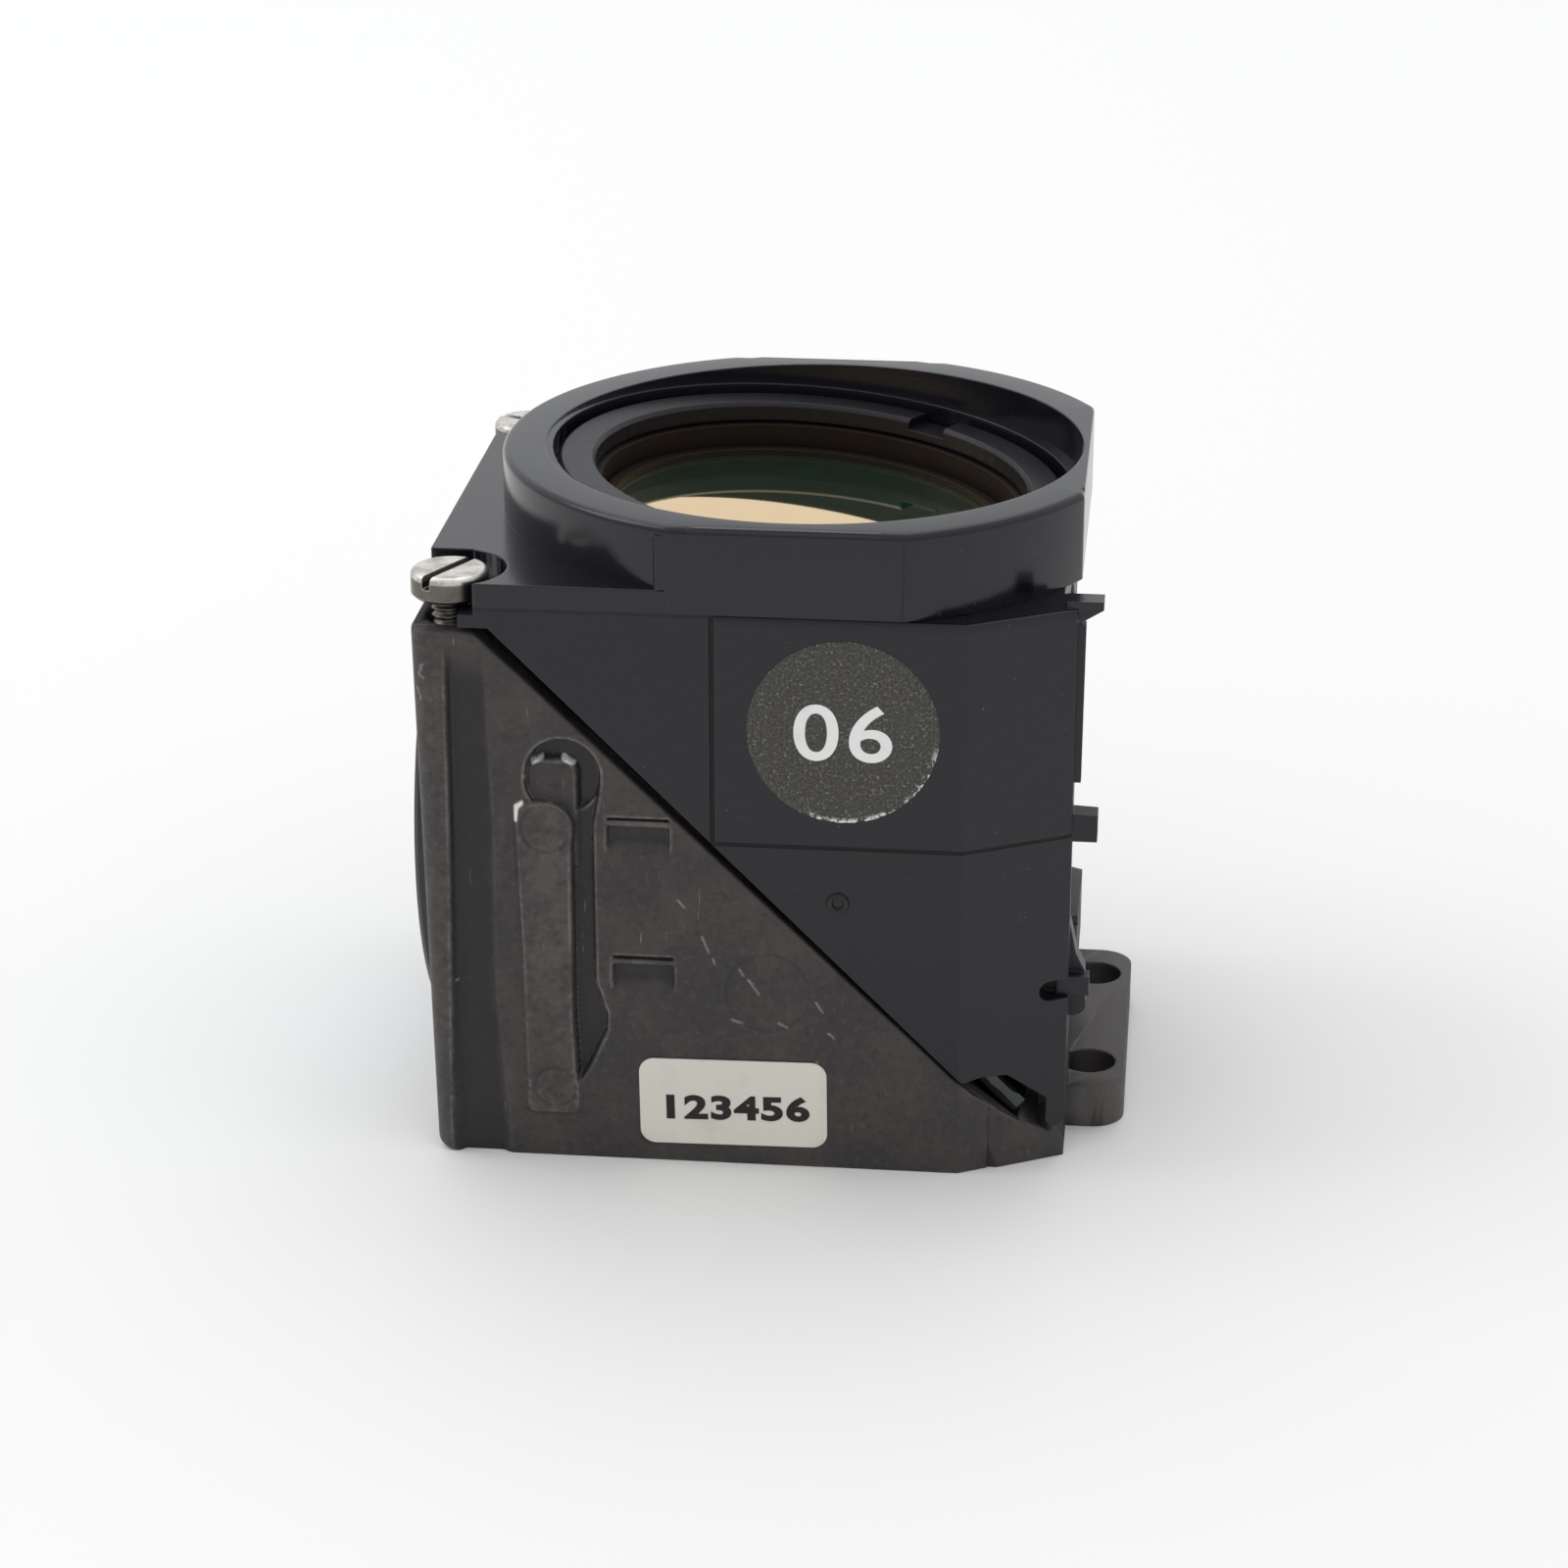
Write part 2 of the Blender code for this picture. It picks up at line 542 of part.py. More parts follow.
def guide_prongs():
    """Two prongs, a low rail and the lug of the right front post."""
    front = -CORNER_Y
    out = RIGHT_X + PRONG_OUT
    root = RIGHT_X - 0.6
    top = LEDGE_R + PRONG_RISE
    upper = [(root, top - 0.95), (RIGHT_X + 0.35, top - 0.95), (out, top - 0.4), (out, top), (root, top)]
    upper = prism("prong_upper", upper, "XZ", front + 0.01, front + PRONG_W)
    lower = [(root, EM_Z + 2.1), (out, EM_Z + 2.1), (out, EM_Z + 3.5), (root, EM_Z + 3.6)]
    lower = prism("prong_lower", lower, "XZ", front + 0.01, front + PRONG_W)
    rail = prism("rail", [(root, EM_Z + 5.3), (RIGHT_X + 0.35, EM_Z + 5.3), (RIGHT_X + 0.4, EM_Z + 13.6),
                          (root, EM_Z + 14.0)], "XZ", front + 0.01, front + 0.8)
    lug = box("lug", (root, RIGHT_X + PRONG_OUT - 0.2), (front + 0.25, front + 1.2),
              (LUG_Z - LUG_H / 2.0, LUG_Z + LUG_H / 2.0))
    fairing = [(root, LUG_Z - 1.9)] + arc((RIGHT_X + 0.2, LUG_Z - 1.2), 0.75, 270.0, 340.0, 5)
    fairing += [(RIGHT_X + 0.8, LUG_Z + 0.6), (RIGHT_X + 0.35, LUG_Z + 1.5), (RIGHT_X, LUG_Z + 3.2),
                (root, LUG_Z + 3.2)]
    swell = prism("lug_fairing", fairing, "XZ", front + 0.9, front + 2.1)
    return upper, lower, rail, lug, swell


# ---- filters ----
def retaining_ring(name, side, top, thickness):
    """Threaded ring with two spanner notches, face at height top along its own axis."""
    origin, rotation = filter_frame(side)
    low = top - thickness
    chamfer = 0.2
    profile = [(RING_R - chamfer, top), (RING_R, top - chamfer), (RING_R, low), (RING_HOLE_R, low),
               (RING_HOLE_R, top - chamfer), (RING_HOLE_R + chamfer, top)]
    ring = turned(name, profile, origin, rotation)
    notch = box("spanner_notch", (-RING_R - 1.0, RING_R + 1.0), (-RING_NOTCH_W / 2, RING_NOTCH_W / 2),
                (top - thickness * 0.55, top + 1.0))
    notch.data.transform(notch.matrix_world)
    notch.location = [value * MM for value in origin]
    turn = Matrix.Rotation(math.radians(NOTCH_TURN[side]), 4, "Z")
    notch.data.transform(turn)
    notch.rotation_euler = rotation
    cut(ring, notch)
    return finish(ring, (0.05, 0.05, 0.055), 0.5, 0.3)


def filter_stack(side, top, thickness):
    """Mount ring, coated glass, spacer and rear glass of one filter, as separate pieces."""
    origin, rotation = filter_frame(side)
    low = top - thickness
    inner = FILTER_R - GLASS_WALL
    profile = [(FILTER_R, top), (FILTER_R, low), (inner - LIP_OVER, low)]
    profile += [(inner - LIP_OVER, low + LIP_T), (inner, low + LIP_T), (inner, top)]
    mount = turned(side + "_filter_mount", profile, origin, rotation)
    finish(mount, (0.02, 0.02, 0.022), 0.5, 0.4)
    glass_r = inner - FIT
    level = low + LIP_T + FIT
    rear = disc(side + "_rear_glass", glass_r, level, level + GLASS_T, origin, rotation)
    finish(rear, (0.35, 0.42, 0.40), 0.08)
    level += GLASS_T + FIT
    spacer = turned(side + "_glass_spacer", [(glass_r, level + SPACER_T), (glass_r, level),
                                             (glass_r - 0.6, level), (glass_r - 0.6, level + SPACER_T)],
                    origin, rotation)
    finish(spacer, (0.03, 0.03, 0.03), 0.6)
    level += SPACER_T + FIT
    front = disc(side + "_coated_glass", glass_r, level, level + GLASS_T, origin, rotation)
    finish(front, (0.05, 0.10, 0.09), 0.05)
    return mount, rear, spacer, front


def disc(name, radius, low, high, origin, rotation):
    return turned(name, [(0.0, high), (radius, high), (radius, low), (0.0, low)], origin, rotation,
                  sides=64, closed=False)


# ---- beamsplitter ----
def beamsplitter():
    plate = diagonal_block("beamsplitter_plate", PLATE_LOW, PLATE_HIGH, PLATE_TOP, PLATE_END, PLATE_W / 2.0)
    bevel(plate, 0.12, 1)
    return finish(plate, (0.30, 0.36, 0.34), 0.06)


def beamsplitter_spring(name, sign):
    """Leaf spring between the die-cast rail and the plate's lower face."""
    low_sum = RAIL + GAP * ROOT2
    high_sum = low_sum + SPRING_T * ROOT2
    middle = (PLATE_TOP + PLATE_END) / 2.0
    reach = SPRING_L / 2.0 * ROOT2
    near = RAIL_HALF + 0.2
    corners = ((low_sum, middle - reach), (high_sum, middle - reach), (high_sum, middle + reach),
               (low_sum, middle + reach))
    points = [((total + diff) / 2.0, (total - diff) / 2.0) for total, diff in corners]
    side = sorted((sign * near, sign * (near + SPRING_W)))
    return finish(prism(name, points, "XZ", *side), (0.55, 0.54, 0.5), 0.3, 1.0)


def light_trap():
    """Ribbed matt insert on the floor of the die-cast half."""
    low = WALL_BOTTOM + GAP
    start = INNER_LEFT + 0.4
    end = CREASE_X - 0.4
    teeth = 14
    pitch = (end - start) / teeth
    points = [(start, low), (end, low)]
    for index in range(teeth):
        right = end - index * pitch
        points += [(right, low + 0.4), (right - pitch / 2.0, low + 1.1)]
    points.append((start, low + 0.4))
    insert = prism("light_trap_insert", points, "XZ", -RAIL_HALF + GAP, RAIL_HALF - GAP)
    return finish(insert, (0.012, 0.012, 0.012), 0.9)


# ---- fasteners and labels ----
def clamp_screw(name, sign):
    top = HEAD_Z + SCREW_HEAD_T
    edge = 0.25
    tip = HEAD_Z - SCREW_LENGTH
    profile = [(0.0, top), (SCREW_HEAD_R - edge * 0.6, top), (SCREW_HEAD_R, top - edge),
               (SCREW_HEAD_R, HEAD_Z + edge), (SCREW_HEAD_R - edge, HEAD_Z), (SCREW_SHANK_R, HEAD_Z),
               (SCREW_SHANK_R, tip + 0.3), (SCREW_SHANK_R - 0.3, tip), (0.0, tip)]
    screw = turned(name, profile, (SCREW_X, sign * SCREW_Y, 0.0), sides=48, closed=False)
    slot = box("driver_slot", (-SCREW_HEAD_R - 1.0, SCREW_HEAD_R + 1.0), (-SLOT_W / 2, SLOT_W / 2),
               (top - SLOT_D, top + 1.0))
    slot.data.transform(slot.matrix_world)
    slot.location = (SCREW_X * MM, sign * SCREW_Y * MM, 0.0)
    slot.rotation_euler = (0.0, 0.0, SLOT_TURN if sign < 0 else -SLOT_TURN * 0.4)
    cut(screw, slot)
    return finish(screw, (0.62, 0.60, 0.57), 0.28, 1.0)


def number_disc():
    front = -HALF + LABEL_SEAT
    item = cylinder("number_disc", DISC_R, front, front + LABEL_T, "Y", (DISC_X, DISC_Z), 48)
    return finish(item, (0.05, 0.048, 0.044), 0.6)


def paper_tag():
    front = -HALF + LABEL_SEAT
    item = box("paper_tag", (TAG_X - TAG_L / 2, TAG_X + TAG_L / 2), (front, front + LABEL_T),
               (TAG_Z - TAG_H / 2, TAG_Z + TAG_H / 2))
    return finish(item, (0.55, 0.54, 0.5), 0.7)


def main():
    cast = emission_housing()
    moulded = excitation_housing()
    attach(moulded, *filter_stack("excitation", -RING_DROP - RING_T - FIT, FILTER_T))
    attach(moulded, retaining_ring("excitation_retaining_ring", "excitation", -RING_DROP, RING_T))
    attach(moulded, number_disc())
    attach(cast, *filter_stack("emission", -EM_FILTER_X, FILTER_T))
    attach(cast, retaining_ring("emission_retaining_ring", "emission", -EM_RING_X, EM_RING_T))
    attach(cast, beamsplitter(), beamsplitter_spring("beamsplitter_spring_front", -1.0))
    attach(cast, beamsplitter_spring("beamsplitter_spring_rear", 1.0), light_trap(), paper_tag())
    attach(cast, clamp_screw("clamp_screw_front", -1.0), clamp_screw("clamp_screw_rear", 1.0))
    attach(cast, moulded)


clear_scene()
PARTS = new_collection(OBJECT_NAME)
CUTTERS = new_collection(OBJECT_NAME + "_cutters")
main()
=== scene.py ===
# %% [markdown]
# # Filter cube of a fluorescence microscope
# A filter cube holds three pieces of coated glass at fixed angles. One half is a zinc die
# casting, the other a black moulding, and two slotted screws hold them together. The packed
# model already has every piece at its real size, so it is loaded first and never moved.

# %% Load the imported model
import math

import bmesh
import bpy
import numpy as np
from mathutils import Matrix, Vector


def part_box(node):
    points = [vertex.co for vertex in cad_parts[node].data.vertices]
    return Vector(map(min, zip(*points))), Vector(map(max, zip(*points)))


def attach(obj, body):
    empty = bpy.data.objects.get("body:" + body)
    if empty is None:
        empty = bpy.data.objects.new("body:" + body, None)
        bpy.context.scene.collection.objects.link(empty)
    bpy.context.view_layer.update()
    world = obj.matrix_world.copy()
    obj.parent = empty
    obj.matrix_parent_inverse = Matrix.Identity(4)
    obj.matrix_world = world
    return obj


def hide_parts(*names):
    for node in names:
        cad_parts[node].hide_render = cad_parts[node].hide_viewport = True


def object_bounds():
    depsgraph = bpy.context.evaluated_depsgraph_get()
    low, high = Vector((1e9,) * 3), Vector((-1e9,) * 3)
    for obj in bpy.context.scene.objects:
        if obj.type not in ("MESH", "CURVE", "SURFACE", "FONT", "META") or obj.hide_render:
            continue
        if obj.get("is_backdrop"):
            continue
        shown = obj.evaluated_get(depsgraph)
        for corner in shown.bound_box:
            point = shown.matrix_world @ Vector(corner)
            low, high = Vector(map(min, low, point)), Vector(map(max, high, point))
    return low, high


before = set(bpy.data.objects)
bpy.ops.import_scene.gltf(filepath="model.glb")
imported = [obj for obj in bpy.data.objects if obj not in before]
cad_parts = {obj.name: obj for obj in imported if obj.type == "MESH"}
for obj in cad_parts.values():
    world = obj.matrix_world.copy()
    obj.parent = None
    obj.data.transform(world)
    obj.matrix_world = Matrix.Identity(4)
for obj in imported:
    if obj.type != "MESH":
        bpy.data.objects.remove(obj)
cad_low, cad_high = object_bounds()
print("nodes:", len(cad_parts), "box mm:", [round(v * 1000, 2) for v in cad_high - cad_low])

# %% [markdown]
# Lengths are in metres. The outer faces come from the boxes of the two halves, and the edges
# between them are measured inwards from those faces: the angled corner on the right, the
# ledge that the filter rim stands on, and the land where the halves meet on the left.

# %% Sizes read from the model
MM = 0.001
cast_low, cast_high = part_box("emission_housing")
front_y = cast_low.y
left_x = cast_low.x
right_x = cast_high.x - 3.0 * MM  # the base flange stands out by 3 mm
corner_run, corner_back = 5.33 * MM, 2.9 * MM
crease_x = right_x - corner_run
rim_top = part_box("excitation_housing")[1].z
ledge_z = rim_top - 4.5 * MM
left_ledge_z = rim_top - 3.27 * MM
ear_z = rim_top - 5.55 * MM
land_z = ear_z - 0.3 * MM
foot_lean = 0.55 * MM
axis_x = 1.0 * MM
tilt = math.radians(4.7)
print("rim top", round(rim_top / MM, 2), "mm, land", round(land_z / MM, 2), "mm")

# %% [markdown]
# ## Tools for surfaces
# A surface is a grid of points from a formula. `grid_faces` joins neighbours into four-sided
# faces and closes the grid where the shape closes. `new_piece` merges the points that
# coincide, such as the middle of a disc. A piece's place is in its mesh and the object stays
# at the origin, so that the body it rides on can carry it to any pose.


# %% A grid of points becomes a mesh
def grid_faces(rows, columns, wrap_rows=False, wrap_columns=False):
    """Corner numbers of each four-sided face between neighbouring rows and columns."""
    row = np.arange(rows if wrap_rows else rows - 1)
    column = np.arange(columns if wrap_columns else columns - 1)
    r, c = np.meshgrid(row, column, indexing="ij")
    r2, c2 = (r + 1) % rows, (c + 1) % columns
    corners = (r * columns + c, r * columns + c2, r2 * columns + c2, r2 * columns + c)
    return np.stack(corners, axis=-1).reshape(-1, 4)


def carried(name, mesh, body):
    """Put a finished mesh in the scene as a piece that rides on a body of the model."""
    piece = bpy.data.objects.new(name, mesh)
    bpy.context.scene.collection.objects.link(piece)
    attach(piece, body)
    print(name, len(mesh.polygons), "faces")
    return piece


def new_piece(name, points, faces, body, smooth_angle=35.0, masks=None):
    """Make the mesh, merge its doubles, point its faces outwards and shade it by angle. Each
    mask is one number per point, which the finish reads by its name."""
    mesh = bpy.data.meshes.new(name)
    mesh.from_pydata(points.reshape(-1, 3).tolist(), [], [list(f) for f in faces])
    for mask, values in (masks or {}).items():
        mesh.attributes.new(mask, "FLOAT", "POINT").data.foreach_set("value", values)
    work = bmesh.new()
    work.from_mesh(mesh)
    bmesh.ops.remove_doubles(work, verts=work.verts, dist=2e-6)
    bmesh.ops.dissolve_degenerate(work, edges=work.edges, dist=1e-7)
    bmesh.ops.recalc_face_normals(work, faces=work.faces)
    work.to_mesh(mesh)
    work.free()
    mesh.shade_smooth()
    mesh.set_sharp_from_angle(angle=math.radians(smooth_angle))
    return carried(name, mesh, body)


def lathe(profile, sides=128):
    """Each (radius, height) of the profile goes once round Z: x = r cos a, y = r sin a."""
    profile = np.asarray(profile, float)
    angle = np.linspace(0.0, 2.0 * np.pi, sides, endpoint=False)
    radius, height = profile[:, 0][:, None], profile[:, 1][:, None]
    x, y = radius * np.cos(angle), radius * np.sin(angle)
    points = np.stack([x, y, np.broadcast_to(height, x.shape)], axis=-1)
    return points, grid_faces(len(profile), sides, wrap_columns=True)


def placed(points, origin, turn_y=0.0):
    """Lean the points about Y and carry them to their origin."""
    c, s = math.cos(turn_y), math.sin(turn_y)
    x = points[..., 0] * c + points[..., 2] * s
    z = -points[..., 0] * s + points[..., 2] * c
    return np.stack([x, points[..., 1], z], axis=-1) + np.asarray(origin)


# %% [markdown]
# ## Shader maths as expressions
# A node tree for a worn finish is mostly arithmetic on masks. Wrapping a socket in a small
# class lets the masks be written as Python expressions, and each one adds its Math node.


# %% Values and finishes
class Value:
    """An output socket that takes part in arithmetic."""

    def __init__(self, finish, socket):
        self.finish = finish
        self.socket = socket

    def _math(self, operation, *others):
        return self.finish.node("Math", {"operation": operation}, dict(enumerate(others)))

    def __add__(self, other):
        return self._math("ADD", self, other)

    def __sub__(self, other):
        return self._math("SUBTRACT", self, other)

    def __rsub__(self, other):
        return self._math("SUBTRACT", other, self)

    def __mul__(self, other):
        return self._math("MULTIPLY", self, other)

    def __pow__(self, other):
        return self._math("POWER", self, other)

    __radd__ = __add__
    __rmul__ = __mul__


class Finish:
    """A material whose Principled shader takes constants and computed values."""

    def __init__(self, name, **constants):
        self.material = bpy.data.materials.new(name)
        self.material.use_nodes = True
        self.tree = self.material.node_tree
        self.shader = self.tree.nodes["Principled BSDF"]
        for socket, value in constants.items():
            self._put(self.shader.inputs[socket.replace("_", " ")], value)
        self.place = self.node("TexCoord", {}, {}, "Object")

    def node(self, kind, settings, values, output=0):
        """Add one node: its settings first, then the value or link of each socket."""
        made = self.tree.nodes.new("ShaderNode" + kind)
        for key, value in settings.items():
            setattr(made, key, value)
        for key, value in values.items():
            self._put(made.inputs[key], value)
        return Value(self, made.outputs[output])

    def _put(self, socket, value):
        """Link a Value to a socket, or set a constant; a colour of three numbers is opaque."""
        if isinstance(value, Value):
            self.tree.links.new(value.socket, socket)
        elif hasattr(value, "__len__") and len(value) == 3 and len(socket.default_value) == 4:
            socket.default_value = (*value, 1.0)
        else:
            socket.default_value = value

    def set(self, socket, value):
        """Give one input of the shader its value."""
        self._put(self.shader.inputs[socket], value)
        return self

    def noise(self, size, detail=3.0, roughness=0.55, stretch=None):
        """Noise whose features are about the given size, in metres; stretch scales the axes."""
        place = self.place
        if stretch is not None:
            values = {"Vector": place, "Scale": stretch}
            place = self.node("Mapping", {"vector_type": "POINT"}, values)
        values = {"Vector": place, "Scale": 1.0 / size, "Detail": detail, "Roughness": roughness}
        return self.node("TexNoise", {}, values)

    def step(self, value, low, high):
        """0 below low, 1 above high and smooth between."""
        settings = {"interpolation_type": "SMOOTHSTEP"}
        values = {"Value": value, "From Min": low, "From Max": high}
        return self.node("MapRange", settings, values, "Result")

    def mix(self, factor, first, second):
        """The first colour where factor is 0, the second where it is 1."""
        settings = {"data_type": "RGBA"}
        return self.node("Mix", settings, {"Factor": factor, 6: first, 7: second}, 2)

    def axis(self, letter):
        """X, Y or Z of the point on the piece, in metres."""
        return self.node("SeparateXYZ", {}, {"Vector": self.place}, letter)

    def mask(self, name):
        """The number that a piece carries at each point under this name, or 0."""
        return self.node("Attribute", {"attribute_name": name}, {}, "Fac")

    def line(self, across, along, place, start, end, width):
        """1 on a straight groove: across is within the width of place, along from start to end."""
        away = ((across - place) * (across - place)) ** 0.5
        reach = self.step(along, start, start + width) * (1.0 - self.step(along, end - width, end))
        return (1.0 - self.step(away, width * 0.5, width)) * reach

    def edges(self, radius):
        """Rounded-edge normal and a mask that is 1 on edges narrower than the radius."""
        soft = self.node("Bevel", {"samples": 6}, {"Radius": radius})
        true = self.node("NewGeometry", {}, {}, "Normal")
        along = self.node("VectorMath", {"operation": "DOT_PRODUCT"}, {0: soft, 1: true}, "Value")
        return soft, self.step(1.0 - along, 0.01, 0.12)

    def bump(self, height, distance, normal=None):
        """Tilt the shading as if the surface rose by height times distance."""
        values = {"Height": height, "Distance": distance, "Strength": 1.0}
        if normal is not None:
            values["Normal"] = normal
        return self.set("Normal", self.node("Bump", {}, values, "Normal"))


def wear(finish, *pieces):
    """Put a finish on pieces; a name stands for that node of the model."""
    for piece in pieces:
        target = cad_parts[piece] if isinstance(piece, str) else piece
        target.data.materials.clear()
        target.data.materials.append(finish.material)
        print(finish.material.name, "on", target.name)


# %% [markdown]
# ## Blackened die casting
# The zinc half is chemically blackened. It reads as warm dark grey: mottled brown and grey
# patches a few millimetres wide, a fine cast grain, and paler metal where edges have rubbed.
# The mask for rubbed edges compares the true normal with one averaged over a short radius.
# Four more masks come from the relief below as a number at each point: `sunk` darkens the hollows
# with painted shade, a second one makes the proud edges paler, partly as rubbed metal and partly as
# a painted highlight, `scratched` marks the nicks, and a last one paints glints on two corners.

# %% Die-cast finish
def cast_finish():
    """Warm dark grey with patches, mottle and grain, pale where it is rubbed or scratched, with
    painted shade in the relief's hollows, a painted highlight on its proud edges and painted glints
    on two corners.
    """
    made = Finish("die_cast_black", Metallic=0.35, Specular_IOR_Level=0.5)
    soft, edge = made.edges(0.22 * MM)
    patches = made.noise(4.0 * MM, 4.0, 0.6)
    streaks = made.noise(1.6 * MM, 4.0, 0.6, (1.0, 1.0, 0.45))
    grain = made.noise(0.11 * MM, 3.0, 0.7)
    mottle = made.noise(0.45 * MM, 4.0, 0.7)
    warm = made.mix(made.step(patches, 0.38, 0.66), (0.040, 0.036, 0.037), (0.060, 0.051, 0.048))
    warm = made.mix(made.step(mottle, 0.5, 0.68) * 0.4, warm, (0.085, 0.076, 0.070))
    warm = made.mix((1.0 - made.step(mottle, 0.32, 0.46)) * 0.45, warm, (0.022, 0.019, 0.020))
    outer = made.step(made.axis("X"), right_x, right_x + 1.0 * MM)
    warm = made.mix(outer * 0.6, warm, (0.115, 0.108, 0.102))
    colour = made.mix(made.step(streaks, 0.5, 0.75) * 0.4, warm, (0.080, 0.072, 0.066))
    colour = made.mix(made.step(grain, 0.6, 0.74) * 0.3, colour, (0.14, 0.135, 0.125))
    # Painted shade: the relief's sunk places, the channel and the deep hollows go near black
    colour = made.mix(made.mask("sunk") * 0.75, colour, (0.017, 0.016, 0.019))
    # Paler on rubbed edges, and on the relief's proud edges, where a painted highlight is mixed
    # with wear
    rubbed_and_highlit = edge * made.step(patches + streaks, 0.75, 1.15)
    rubbed_and_highlit = rubbed_and_highlit + made.mask("worn") * (0.25 + 0.75 * made.step(streaks + mottle, 0.8, 1.2))
    colour = made.mix(rubbed_and_highlit * 0.5, colour, (0.20, 0.19, 0.175))
    scratch = made.noise(0.9 * MM, 2.0, 0.4, (6.0, 6.0, 0.55))
    scuff = made.step(scratch, 0.72, 0.76) * made.step(patches, 0.5, 0.62)
    colour = made.mix(scuff * 0.5 + made.mask("scratched") * 0.55, colour, (0.34, 0.33, 0.31))
    # Painted glints: near-white highlights on the corners of the pin and the bar
    colour = made.mix(made.mask("painted_glint"), colour, (0.85, 0.83, 0.80))
    made.set("Base Color", colour)
    made.set("Roughness", 0.40 + 0.18 * patches + 0.1 * grain - 0.12 * rubbed_and_highlit)
    made.bump(grain * 0.5 + mottle * 0.8 + patches * 0.9, 0.02 * MM, soft)
    return made


cast_black = cast_finish()
print(cast_black.material.name, "nodes:", len(cast_black.tree.nodes))

# %% [markdown]
# ## Relief of the casting's front
# The front face of the casting is a cast relief: a shallow channel beside the left edge, a
# raised bar with a boss at each end, a valley and an arched hollow beside it, two wedge
# pockets and a faint ejector circle. It is one surface: the depth behind the front plane is
# a sum of smooth steps over the face, computed for the whole grid at once. The model's flat
# front layer is sliced off a merged copy, and the relief closes the cut. Real geometry, and
# not a bump alone, makes the pockets cast shadows and keeps their outlines in any view.
# The places below are x and z on the face, in millimetres, as one would read them off it.


# %% Depth of the relief
joint_low, joint_right = 5.05, 9.87  # where the diagonal joint starts
bar_foot, bar_head = 2.45, 19.75
bosses = (((-11.12, 18.35), 1.3), ((-10.9, 3.95), 1.12))  # centre and radius
pockets = ((-8.02, 19.0, -4.88, 17.3), (-7.83, 11.42, -4.72, 9.7))  # left, top, right, bottom
hollow_low, hollow_high = (-10.25, 20.9), (-10.22, 21.25)
pin_middle, pin_half, pin_foot, pin_head = -10.8, 1.42, 16.0, 22.1
ejector_centre, ejector_r = (0.07, 9.7), 2.13


def smooth(value, low, high):
    """0 below low, 1 above high, 3 t^2 - 2 t^3 between."""
    t = np.clip((value - low) / (high - low), 0.0, 1.0)
    return t * t * (3.0 - 2.0 * t)


def to_segment(x, z, start, end, r_start, r_end):
    """Signed distance to a round-ended bar whose radius changes from start to end."""
    dx, dz = end[0] - start[0], end[1] - start[1]
    t = np.clip(((x - start[0]) * dx + (z - start[1]) * dz) / (dx * dx + dz * dz), 0.0, 1.0)
    away = np.hypot(x - start[0] - t * dx, z - start[1] - t * dz)
    return away - (r_start + t * (r_end - r_start))


def rounded_box(x, z, middle, half_w, low, high, corners):
    """Signed distance to an upright bar; corners gives the radii at right top, left top,
    right bottom and left bottom."""
    right, above = x > middle, z > (low + high) / 2.0
    upper, lower = np.where(right, corners[0], corners[1]), np.where(right, corners[2], corners[3])
    radius = np.where(above, upper, lower)
    u = np.abs(x - middle) - half_w + radius
    v = np.abs(z - (low + high) / 2.0) - (high - low) / 2.0 + radius
    outside = np.hypot(np.maximum(u, 0.0), np.maximum(v, 0.0))
    return outside + np.minimum(np.maximum(u, v), 0.0) - radius


def bar_distance(x, z):
    """Signed distance to the outline of the raised bar, which narrows in the middle."""
    bar_left = np.interp(z, (2.4, 11.3, 19.7), (-12.36, -12.46, -12.72))
    bar_right = np.interp(z, (2.6, 8.0, 17.5, 20.0), (-9.6, -9.83, -9.78, -9.6))
    middle, half_w = (bar_left + bar_right) / 2.0, (bar_right - bar_left) / 2.0
    return rounded_box(x, z, middle, half_w, bar_foot, bar_head, (1.45, 0.7, 0.5, 0.45))


def channel_mask(x, z):
    """1 in the shallow channel between the left strip and the field; it fades at the top."""
    left = np.interp(z, (1.4, 9.5, 18.0, 28.0), (-16.3, -16.15, -15.98, -15.95))
    right = np.interp(z, (1.5, 9.5, 18.0, 23.0, 28.0), (-13.4, -13.97, -13.87, -14.03, -14.1))
    inside = smooth(x, left - 0.1, left + 0.2) * (1.0 - smooth(x, right - 0.45, right + 0.2))
    return inside * (1.0 - smooth(z, 25.5, 28.4))


